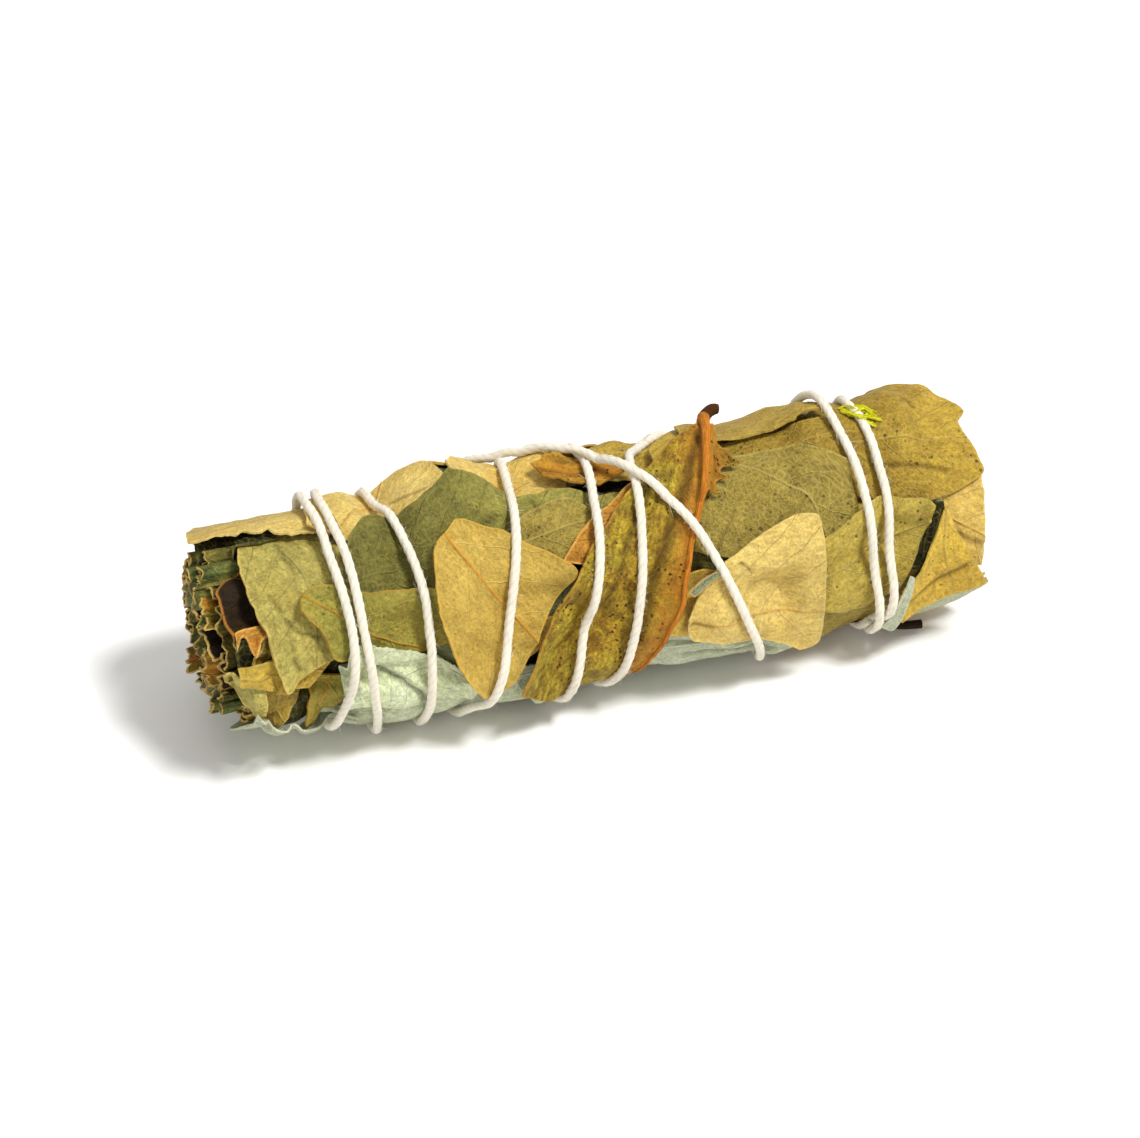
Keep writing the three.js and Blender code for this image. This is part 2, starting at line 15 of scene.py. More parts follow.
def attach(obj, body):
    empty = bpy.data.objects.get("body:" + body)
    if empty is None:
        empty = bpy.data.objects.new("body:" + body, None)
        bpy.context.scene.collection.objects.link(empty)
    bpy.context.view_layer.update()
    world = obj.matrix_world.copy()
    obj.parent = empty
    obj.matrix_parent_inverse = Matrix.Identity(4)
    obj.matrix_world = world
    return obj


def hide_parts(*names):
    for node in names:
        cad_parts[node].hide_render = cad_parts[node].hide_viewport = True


bl_info = {
    "name": "Dried herb bundle",
    "version": (1, 0, 0),
    "blender": (4, 5, 0),
    "location": "3D View > Sidebar > Herb bundle",
    "description": "Builds a bundle of dried leaves bound with cotton twine, and its stage",
    "category": "Add Mesh",
}

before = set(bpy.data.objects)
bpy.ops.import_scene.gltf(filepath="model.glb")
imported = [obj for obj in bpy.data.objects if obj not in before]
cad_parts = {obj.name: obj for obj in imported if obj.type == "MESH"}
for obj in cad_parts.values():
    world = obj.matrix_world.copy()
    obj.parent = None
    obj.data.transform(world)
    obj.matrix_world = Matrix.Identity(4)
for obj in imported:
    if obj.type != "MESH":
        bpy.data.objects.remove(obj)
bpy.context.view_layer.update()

MM = 0.001
MIDDLE = np.array([2.4, 0.6, 15.05])  # the place x = 0 on the bundle's axis, in the row frame
ROUND = math.radians(16)  # millimetres round the bundle for each degree
UNDERSIDE = 7.0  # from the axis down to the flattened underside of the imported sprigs
PACK = (
    [-60, -50, -38, -27, -14, 0, 14, 28, 39, 49, 56],
    [10.6, 10.3, 9.9, 10.3, 9.8, 9.5, 9.8, 10, 10.2, 10.2, 9.8],
)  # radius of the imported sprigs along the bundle
SWELL = (
    [-60, -46, -39, -34, -30, -26, -21, -16, -12, -6, -1, 5, 12, 20, 28, 33, 38, 43, 50, 56],
    [0.4, 0.5, -0.4, 0.2, -0.3, 1.7, 3, 1.8, -0.4, 0.3, -0.6, -0.1, 0.2, -0.2, 0.1, -0.3, -0.3, 1.0, 1.8, 1.9],
)  # how much more it is on top, between the turns of twine
FILLING = (
    [-60, -52, -47, -44, -41, -38, -35, -30, -25, 0, 30, 44, 49, 53, 60],
    [-2.4, -2.4, -2.2, -1.6, -0.6, 0.8, 2.0, 3.0, 3.3, 3.6, 3.4, 3.0, 2.2, 0.8, 0.0],
)  # small broken leaves that plump up the wraps
# Less of it in places: how much at x, about which angle, over what width.
HOLLOWS = [
    (([-30, -24, -18, -14, -8, 0, 10, 28, 34], [0, 1.2, 1.7, 1.5, 1.7, 1.2, 2.0, 1.8, 0]), -8, 30),
    (([-56, -51, -44, -41], [0.6, 1.5, 1.5, 0]), 2, 26),
    (([4, 10, 16, 20], [0, 1.6, 1.6, 0]), 80, 24),
    (([2, 9, 18, 23, 30, 34, 38, 43, 54], [0, -0.6, -0.4, 1.7, 2.0, 0.8, -0.6, 0.5, 0.9]), 135, 30),
    (([-38, -34, -28, -24], [0, -0.5, -0.2, 0]), 135, 26),
    (([-60, -50, -46, -42], [2.2, 2.2, 1.4, 0]), 118, 38),
]
BELLY = ([-42, -36, -30, -20, 0, 25, 40, 50], [0.0, 1.0, 2.2, 1.6, 1.6, 1.2, 0.4, 0.0])  # more of them, low in front


# Sizes and colours


def shade(code):
    """The linear colour of a display colour written as six hexadecimal digits."""
    channels = [int(code[i : i + 2], 16) / 255 for i in (0, 2, 4)]
    return tuple(c / 12.92 if c <= 0.04045 else ((c + 0.055) / 1.055) ** 2.4 for c in channels)


def length(name, description, millimetres):
    return bpy.props.FloatProperty(
        name=name, description=description, default=millimetres * MM, min=0, precision=5, unit="LENGTH"
    )


def colour(name, description, code):
    return bpy.props.FloatVectorProperty(
        name=name, description=description, default=shade(code), min=0, max=1, subtype="COLOR"
    )


class BundleSizes(bpy.types.PropertyGroup):
    blade: length("Leaf thickness", "Thickness of a dried leaf", 0.3)
    gap: length("Leaf gap", "Air left between a leaf and what it lies on", 0.16)
    facet: length("Leaf facet", "Side of the small facets of a leaf that shows", 0.45)
    back_facet: length("Back leaf facet", "Side of the facets of a leaf at the back or underneath", 0.65)
    hidden_facet: length("Hidden leaf facet", "Side of the facets of a leaf inside the bundle", 0.9)
    twine_radius: length("Twine radius", "Radius of the cotton twine", 0.62)
    twine_pitch: length("Twine lay", "Length in which the twine's strands go round once", 4.2)
    twine_bite: length("Twine bite", "How far the twine presses into the leaves", 0.5)


class BundleColours(bpy.types.PropertyGroup):
    gold: colour("Gold", "Golden dried leaves", "cfb052")
    pale_gold: colour("Pale gold", "Pale golden leaves", "e2c670")
    tan: colour("Tan", "Tan leaves", "bea03c")
    olive: colour("Olive", "Olive leaves", "96943e")
    grey_olive: colour("Grey olive", "Greyish olive leaves", "a69240")
    dark_green: colour("Dark green", "Dark leathery leaves", "807c36")
    grey_green: colour("Grey green", "The green-tan outer leaf of the cut end", "b9af5e")
    brown: colour("Brown", "Olive-brown leaves", "a59a30")
    # Near black: partly the leaves' own dark brown, partly painted shade for the deep cup and gaps at the cut end.
    dark_brown_and_shade: colour("Dark brown", "Dark leaves at the cut end", "150e05")
    pale_sage: colour("Pale sage", "Pale downy sage leaves", "bfc8a6")
    sage: colour("Sage", "Rolled sage leaves", "74814e")
    orange: colour("Orange", "Midrib and stalk of the brown leaf", "d48428")
    bark: colour("Bark", "Woody stems", "6b4a2c")
    twine: colour("Twine", "Cotton twine", "fbf5e6")
    floor: colour("Floor", "Studio floor", "fcfbf9")


class StageSettings(bpy.types.PropertyGroup):
    azimuth: bpy.props.FloatProperty(
        name="Azimuth", description="Camera's turn about the bundle", default=math.radians(-17), unit="ROTATION"
    )
    elevation: bpy.props.FloatProperty(
        name="Elevation", description="Camera's height above the floor", default=math.radians(40), unit="ROTATION"
    )
    distance: length("Distance", "From the bundle's axis to the camera", 529)
    lens: bpy.props.FloatProperty(name="Lens", description="Focal length in millimetres", default=120)
    aside: length("Aside", "How far the camera stands left of the bundle's middle", 3.9)
    below: length("Below", "How far the camera stands below the bundle's middle", 1.1)


# The bundle's round


def waves(seed, size, x, y=0.0):
    """A smooth uneven pattern from about -1 to 1, with swells about size across."""
    draw = np.random.default_rng(seed)
    total = 0
    for _ in range(8):
        turn, phase = draw.uniform(0, 2 * math.pi, 2)
        across = size * draw.uniform(0.7, 2.0)
        total = total + np.cos(2 * math.pi * (x * math.cos(turn) + y * math.sin(turn)) / across + phase)
    return total / 5


def ease(value, start, end):
    t = np.clip((value - start) / (end - start), 0, 1)
    return t * t * (3 - 2 * t)


class Round:
    """The bundle's round as a grid: how high the leaves reach, and how far the twine squeezes them."""

    START, STEP, COLUMNS, TURNS = -66.0, 0.3, 441, 360

    def __init__(self):
        self.x = self.START + self.STEP * np.arange(self.COLUMNS)[:, None]
        self.angle = np.arange(self.TURNS)[None, :] * 1.0
        low = np.exp(-(((np.mod(self.angle + 45 + 180, 360) - 180) / 38) ** 2))
        self.heights = np.interp(self.x, *FILLING) + np.interp(self.x, *BELLY) * low
        for amounts, middle, width in HOLLOWS:
            away = (np.mod(self.angle - middle + 180, 360) - 180) / width
            self.heights = self.heights - np.interp(self.x, *amounts) * np.exp(-(away**2))
        swell = 0
        draw = np.random.default_rng(11)
        for _ in range(14):
            count, phase, across = draw.integers(1, 7), draw.uniform(0, 6.3), draw.uniform(14, 40)
            swell = swell + np.cos(np.radians(self.angle) * count + 2 * math.pi * self.x / across + phase)
        self.give = -0.09 * swell  # taken off every height at that place

    def sample(self, field, x, angle):
        column = np.clip((x - self.START) / self.STEP, 0, self.COLUMNS - 1.001)
        turn = np.mod(angle, 360.0)
        i, j = column.astype(int), turn.astype(int) % 360
        s, t, k = column - i, turn - np.floor(turn), (j + 1) % 360
        near = field[i, j] * (1 - t) + field[i, k] * t
        far = field[i + 1, j] * (1 - t) + field[i + 1, k] * t
        return near * (1 - s) + far * s

    def envelope(self, reach):
        """The heights as a stiff leaf feels them: the highest within reach, then smoothed."""
        steps = max(1, round(reach / self.STEP))
        high = self.heights
        for axis in (0, 1):
            high = np.maximum.reduce([np.roll(high, k, axis) for k in range(-steps, steps + 1)])
        weights = np.array([math.exp(-((1.6 * k / steps) ** 2)) for k in range(-steps, steps + 1)])
        weights /= weights.sum()
        for axis in (0, 1):
            high = sum(w * np.roll(high, k, axis) for w, k in zip(weights, range(-steps, steps + 1)))
        return high

    def lay(self, x, angle, height):
        """Raises the heights to those of a leaf's upper face."""
        column = np.rint((x - self.START) / self.STEP).astype(int)
        turn = np.rint(angle).astype(int)
        for i in (-1, 0, 1):
            for j in (-1, 0, 1):
                cell = (np.clip(column + i, 0, self.COLUMNS - 1), (turn + j) % 360)
                np.maximum.at(self.heights, cell, height)

    def packed(self, x, angle):
        """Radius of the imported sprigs."""
        from_top = np.abs(np.mod(angle - 105 + 180, 360) - 180)
        return np.interp(x, *PACK) + ease(110 - from_top, 0, 85) * np.interp(x, *SWELL)

    def point(self, x, angle, height):
        """Points in the row frame, in millimetres."""
        height = height - self.sample(self.give, x, angle)
        a = np.radians(angle)
        full = self.packed(x, angle) + height
        down = -np.sin(a)
        flat = np.where(down > 0.05, (UNDERSIDE + height) / np.maximum(down, 0.05), 1e3)
        softness = 1.6
        radius = -np.log(np.exp(-softness * (full - 12)) + np.exp(-softness * np.minimum(flat - 12, 60))) / softness + 12
        return np.stack([x + 0 * radius, -radius * np.cos(a), radius * np.sin(a)], -1) + MIDDLE


BUNDLE = Round()


# Meshes


def resample(points, count):
    """Points evenly spaced along a smooth line through the given ones."""
    p = np.array(points, float)
    p = np.vstack([p[0], p, p[-1]])
    t = np.linspace(0, 1, 17)[:-1, None]
    parts = []
    for k in range(1, len(p) - 2):
        a, b, c, d = p[k - 1 : k + 3]
        parts.append(
            0.5 * (2 * b + (c - a) * t + (2 * a - 5 * b + 4 * c - d) * t**2 + (3 * b - a - 3 * c + d) * t**3)
        )
    dense = np.vstack([*parts, p[-1]])
    run = np.r_[0, np.cumsum(np.linalg.norm(np.diff(dense, axis=0), axis=1))]
    at = np.linspace(0, run[-1], count)
    return np.stack([np.interp(at, run, dense[:, k]) for k in range(p.shape[1])], 1), run[-1]


def sheet(name, points, marks, thickness, inwards=None, smooth=60):
    """A thin closed blade over a grid of points in millimetres. marks are its values at each point."""
    axis_out = points - np.array([0, MIDDLE[1], MIDDLE[2]]) if inwards is None else points - inwards
    axis_out = axis_out * [0, 1, 1]
    over = np.cross(np.gradient(points, axis=1), np.gradient(points, axis=0))
    if (over * axis_out).sum() < 0:
        points, marks = points[:, ::-1], {k: v[:, ::-1] for k, v in marks.items()}
    rows, columns = points.shape[:2]
    bpy.ops.object.select_all(action="DESELECT")
    bpy.ops.mesh.primitive_grid_add(x_subdivisions=columns - 1, y_subdivisions=rows - 1, size=MM)
    piece = bpy.context.object
    piece.name = piece.data.name = name
    mesh = piece.data
    mesh.vertices.foreach_set("co", (points.reshape(-1, 3) * MM).astype(np.float32).ravel())
    corners = np.empty(len(mesh.loops), np.int32)
    mesh.loops.foreach_get("vertex_index", corners)
    layer = mesh.uv_layers[0]
    layer.name = "Blade"
    place = np.stack([marks["along"].ravel(), marks["across"].ravel()], 1) / 100 + 0.5
    layer.uv.foreach_set("vector", place[corners].astype(np.float32).ravel())
    for key, values in marks.items():
        if key not in ("along", "across"):
            mesh.attributes.new(key, "FLOAT", "POINT").data.foreach_set("value", values.astype(np.float32).ravel())
    mesh.update()
    if thickness:
        wall = piece.modifiers.new("Thickness", "SOLIDIFY")
        wall.thickness, wall.offset = thickness * MM, -1
        bpy.ops.object.modifier_apply(modifier=wall.name)
    bpy.ops.object.shade_smooth_by_angle(angle=math.radians(smooth))
    return piece


def join(name, pieces):
    bpy.ops.object.select_all(action="DESELECT")
    for piece in pieces:
        piece.select_set(True)
    bpy.context.view_layer.objects.active = pieces[0]
    if len(pieces) > 1:
        bpy.ops.object.join()
    whole = bpy.context.view_layer.objects.active
    whole.name = whole.data.name = name
    return whole


def place_piece(piece, finish, *nodes, slot=None):
    """Gives a piece its finish, hangs it on the root and hides the CAD nodes that it stands for. slot is not used."""
    if finish:
        piece.data.materials.clear()
        piece.data.materials.append(finish_named(finish))
    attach(piece, "root")
    if nodes:
        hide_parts(*nodes)
    return piece


def tube(name, line, radii, sides, seed=0, out=None, lobes=0, lobe_depth=0.0, pitch=1.0, ends=0.3, rough=0.0):
    """A closed tube along a line of points in millimetres, with strands twisted round it if it has lobes."""
    line, radii = np.asarray(line, float), np.broadcast_to(radii, len(line)).astype(float)
    run = np.r_[0, np.cumsum(np.linalg.norm(np.diff(line, axis=0), axis=1))]
    along = np.gradient(line, axis=0)
    along /= np.linalg.norm(along, axis=1)[:, None]
    if out is None:
        out = (line - MIDDLE) * [0, 1, 1]
    side = np.cross(along, out)
    side /= np.linalg.norm(side, axis=1)[:, None]
    out = np.cross(side, along)
    around = np.linspace(0, 2 * math.pi, sides + 1)[None, :]
    twist = lobes * around - 2 * math.pi * lobes * run[:, None] / pitch
    swell = 1 + lobe_depth * (np.abs(np.cos(twist / 2)) * 2 - 1.3) if lobes else 1 + 0 * twist
    r = radii[:, None] * swell * (1 + 0.05 * waves(seed, 3.0, run[:, None], around))
    r = r * (1 + rough * waves(seed + 1, 1.1, run[:, None] * 0.8, around))
    points = line[:, None] + r[..., None] * (
        np.cos(around)[..., None] * out[:, None] + np.sin(around)[..., None] * side[:, None]
    )
    first, last = (np.repeat(line[[k]][:, None], sides + 1, 1) for k in (0, -1))
    points = np.concatenate([first - ends * along[0] * radii[0], points, last + ends * along[-1] * radii[-1]])
    run = np.r_[run[0] - 0.1, run, run[-1] + 0.1]
    marks = {
        "along": np.repeat(run[:, None], sides + 1, 1),
        "across": np.repeat(around / (2 * math.pi), len(run), 0) * 4,
        "rim": np.minimum(run - run[0], run[-1] - run)[:, None] + 0 * around,
        "groove": np.pad(swell, ((1, 1), (0, 0)), mode="edge"), "tone": np.ones((len(run), sides + 1)),
        "leaf": np.full((len(run), sides + 1), (seed * 0.618) % 1),
    }
    centre = np.concatenate([line[:1], line, line[-1:]])[:, None]
    piece = sheet(name, points, marks, 0, inwards=None if sides < 3 else _tube_centre(points, centre))
    bpy.ops.object.mode_set(mode="EDIT")
    bpy.ops.mesh.select_all(action="SELECT")
    bpy.ops.mesh.remove_doubles(threshold=1e-6)
    bpy.ops.mesh.normals_make_consistent(inside=False)
    bpy.ops.object.mode_set(mode="OBJECT")
    return piece


def _tube_centre(points, centre):
    return np.broadcast_to(centre, points.shape)


# Leaves


def whole_leaf(x, angle, heading, size, width):
    """The two edges of a whole leaf, pointed at both ends."""
    turn = math.radians(heading)
    along, across = np.array([math.cos(turn), math.sin(turn)]), np.array([-math.sin(turn), math.cos(turn)])
    centre = np.array([x, angle * ROUND])
    shape = zip([0, 0.12, 0.3, 0.5, 0.7, 0.88, 1], [0.08, 0.62, 0.95, 1, 0.84, 0.48, 0.06])
    stations = [(centre + along * (u - 0.5) * size, across * h * width / 2) for u, h in shape]
    return [[(p[0], p[1] / ROUND) for p in (s + side * w for s, w in stations)] for side in (1, -1)]


def leaf(
    name, edges, seed, facet, blade, gap, lift=(0, 0, 0, 0), ragged=(0.1, 0.1, 0.1, 0.1), crumple=0.1,
    midrib=None, rib=0.0, rim_ridge=0.0, creases=(), stiff=2.1, teeth=0.0, level=0.0, ripple=0.0, tone=1.0, cut=0.0,
):
    """Lays a blade between two edges on what is there. lift and ragged are for its base, tip and two edges."""
    plans = [[(x, a * ROUND) for x, a in edge] for edge in edges]
    (first, first_run), (second, second_run) = (resample(plan, 240) for plan in plans)
    run = max(first_run, second_run)
    span = np.linalg.norm(second - first, axis=1)
    rows, columns = max(6, round(run / facet)), max(5, round(np.percentile(span, 80) / facet))
    u, v = np.linspace(0, 1, rows + 1)[:, None], np.linspace(0, 1, columns + 1)[None, :]
    at = u[:, 0] * 239
    edge_a, edge_b = (
        np.stack([np.interp(at, np.arange(240), e[:, k]) for k in (0, 1)], 1)[:, None] for e in (first, second)
    )
    span = np.maximum(np.linalg.norm(edge_b - edge_a, axis=2), 0.3)
    across = (edge_b - edge_a) / span[..., None]
    ahead = np.gradient((edge_a + edge_b) / 2, axis=0)
    ahead /= np.maximum(np.linalg.norm(ahead, axis=2), 1e-6)[..., None]
    plan = edge_a * (1 - v)[..., None] + edge_b * v[..., None]
    fades = (
        np.exp(-u * run / 1.6) + 0 * v, np.exp(-(1 - u) * run / 1.6) + 0 * v,
        np.exp(-v * span / 1.6), np.exp(-(1 - v) * span / 1.6),
    )
    narrow = np.minimum(1, span / 4)
    tooth = teeth * (np.abs(np.mod(u * run / 1.1, 1) - 0.5) * 4 - 1)
    uneven = [waves(seed + k, 2.6, s) + 0.4 * waves(seed + k + 9, 1.1, s) for k, s in enumerate((v * span, v * span, u * run, u * run))]
    plan = plan + ahead * ((ragged[0] * uneven[0] * fades[0] - ragged[1] * uneven[1] * fades[1]) * narrow)[..., None]
    plan = plan + across * (
        ((ragged[2] * uneven[2] + tooth) * fades[2] - (ragged[3] * uneven[3] + tooth) * fades[3]) * narrow
    )[..., None]
    x, angle = plan[..., 0], plan[..., 1] / ROUND
    rim = np.minimum(np.minimum(u * run, (1 - u) * run), np.minimum(v * span, (1 - v) * span))

    if midrib is None:
        midrib = [((edges[0][k][0] + edges[1][k][0]) / 2, (edges[0][k][1] + edges[1][k][1]) / 2) for k in (0, -1)]
    line, _ = resample([(px, a * ROUND) for px, a in midrib], 60)
    along, off = nearest_on(line, plan)

    height = np.maximum(BUNDLE.sample(BUNDLE.envelope(stiff), x, angle), BUNDLE.sample(BUNDLE.heights, x, angle)) + gap
    if level:
        short = (level(x, angle) if callable(level) else level) - BUNDLE.packed(x, angle) + BUNDLE.sample(BUNDLE.give, x, angle) - height
        height = height + np.log1p(np.exp(np.clip(3 * short, -30, 30))) / 3
    height = height + crumple * (0.6 + 0.5 * waves(seed + 20, 7.0, x, plan[..., 1]))
    height = height + 0.05 * waves(seed + 21, 1.8, x, plan[..., 1])
    height = height + ripple * waves(seed + 22, 2.2, v * span, u * 3) * np.exp(-u * run / 4)
    for amount, away in zip(lift, (u * run + 0 * v, (1 - u) * run + 0 * v, v * span, (1 - v) * span)):
        height = height + amount * np.exp(-((away / 2.6) ** 1.5))
    curling = 0.2 * (waves(seed + 30, 6.0, x, plan[..., 1]) + 0.4)
    height = height + np.maximum(curling, 0) * np.exp(-rim / 1.2)
    height = height + rib * np.exp(-((off / 0.42) ** 2)) * ease(along, -1, 3)
    height = height + rim_ridge * np.exp(-((rim / 0.4) ** 2))
    # crease marks the sunken folds, which the finish paints darker as shade.
    crease = 0 * height
    for points, wide, depth in creases:
        fold, _ = resample([(px, a * ROUND) for px, a in points], 40)
        _, away = nearest_on(fold, plan, clamp=True)
        mark = np.exp(-((away / wide) ** 2))
        height = height + depth * mark
        crease = np.maximum(crease, mark * (depth <= 0))
    BUNDLE.lay(x, angle, height + blade)
    points = BUNDLE.point(x, angle, height + blade)
    marks = {
        "along": along, "across": off, "rim": rim, "crease": crease, "leaf": np.full(x.shape, (seed * 0.618) % 1),
        "tone": (tone(x, angle) if callable(tone) else tone) + 0 * x, "cut": np.full(x.shape, cut),
    }
    return sheet(name, points, marks, blade)


def nearest_on(line, points, clamp=False):
    """How far along a line each point is, and how far to its side (its distance where clamp is true)."""
    steps = np.diff(line, axis=0)
    sizes = np.linalg.norm(steps, axis=1)
    run = np.r_[0, np.cumsum(sizes)]
    best = np.full(points.shape[:-1], 1e9)
    along, side = 0 * best, 0 * best
    last = len(steps) - 1
    for k, (start, step, size) in enumerate(zip(line[:-1], steps, sizes)):
        d = points - start
        t = (d @ step) / size**2
        low = 0 if clamp or k > 0 else -50
        high = 1 if clamp or k < last else 50
        t = np.clip(t, low, high)
        gap = d - t[..., None] * step
        away = np.linalg.norm(gap, axis=-1)
        sign = np.sign(step[0] * d[..., 1] - step[1] * d[..., 0])
        near = away < best
        best = np.where(near, away, best)
        along = np.where(near, run[k] + t * size, along)
        side = np.where(near, away * (1 if clamp else sign), side)
    return along, side


INNER_LEAVES = [
    (
        f"inner_leaf_{row * 4 + quarter + 1}",
        whole_leaf(
            -27.5 + 1.5 * math.sin(quarter * 2) if row == 0 else 23 + 1.2 * math.cos(quarter * 2),
            quarter * 90 + (20 if row == 0 else 62), row * 180, 56, 19,
        ),
    )
    for row in (0, 1)
    for quarter in range(4)
]

# Each is (CAD node, finish, edges from base to tip, further settings of the leaf).
BACK_LEAVES = [
    ("back_leaf_1", "olive_leaf", whole_leaf(-41, 150, 72, 34, 19), {"lift": (0.3, 0.5, 0.3, 0)}),
    ("back_leaf_2", "dark_green_leaf", whole_leaf(-24, 208, 8, 48, 27), {"rib": 0.14}),
    ("back_leaf_3", "gold_leaf", whole_leaf(-16, 160, -14, 42, 24), {"rib": 0.18, "lift": (0.2, 0.6, 0, 0.3)}),
    ("back_leaf_4", "tan_leaf", whole_leaf(40, 170, 84, 46, 25), {"rib": 0.16, "lift": (0, 0.2, 0, 0.8)}),
    ("back_leaf_5", "grey_olive_leaf", whole_leaf(25, 208, 172, 46, 26), {"rib": 0.14, "lift": (0.2, 0.5, 0, 0)}),
    ("back_leaf_6", "tan_leaf", whole_leaf(16, 152, 12, 40, 24), {"rib": 0.16, "lift": (0.2, 0.4, 0.2, 0)}),
    ("back_leaf_7", "brown_leaf", whole_leaf(2, 192, 58, 46, 17), {"rib": 0.22, "lift": (0.4, 0.5, 0, 0)}),
    ("bottom_leaf_1", "pale_sage_leaf", whole_leaf(-38, 258, 4, 38, 24), {"teeth": 0.12}),
    ("bottom_leaf_2", "olive_leaf", whole_leaf(-8, 262, -8, 46, 25), {"rib": 0.14}),
    ("bottom_leaf_3", "tan_leaf", whole_leaf(31, 262, 176, 42, 25), {"rib": 0.14}),
    ("bottom_leaf_4", "pale_sage_leaf", whole_leaf(-34, 316, 2, 42, 20), {"rib": 0.12, "tone": 1.25}),
    ("bottom_leaf_5", "pale_sage_leaf", whole_leaf(8, 320, -3, 42, 18), {"teeth": 0.12}),
    ("bottom_leaf_6", "grey_olive_leaf", whole_leaf(38, 322, 186, 32, 20), {"rib": 0.14}),
]

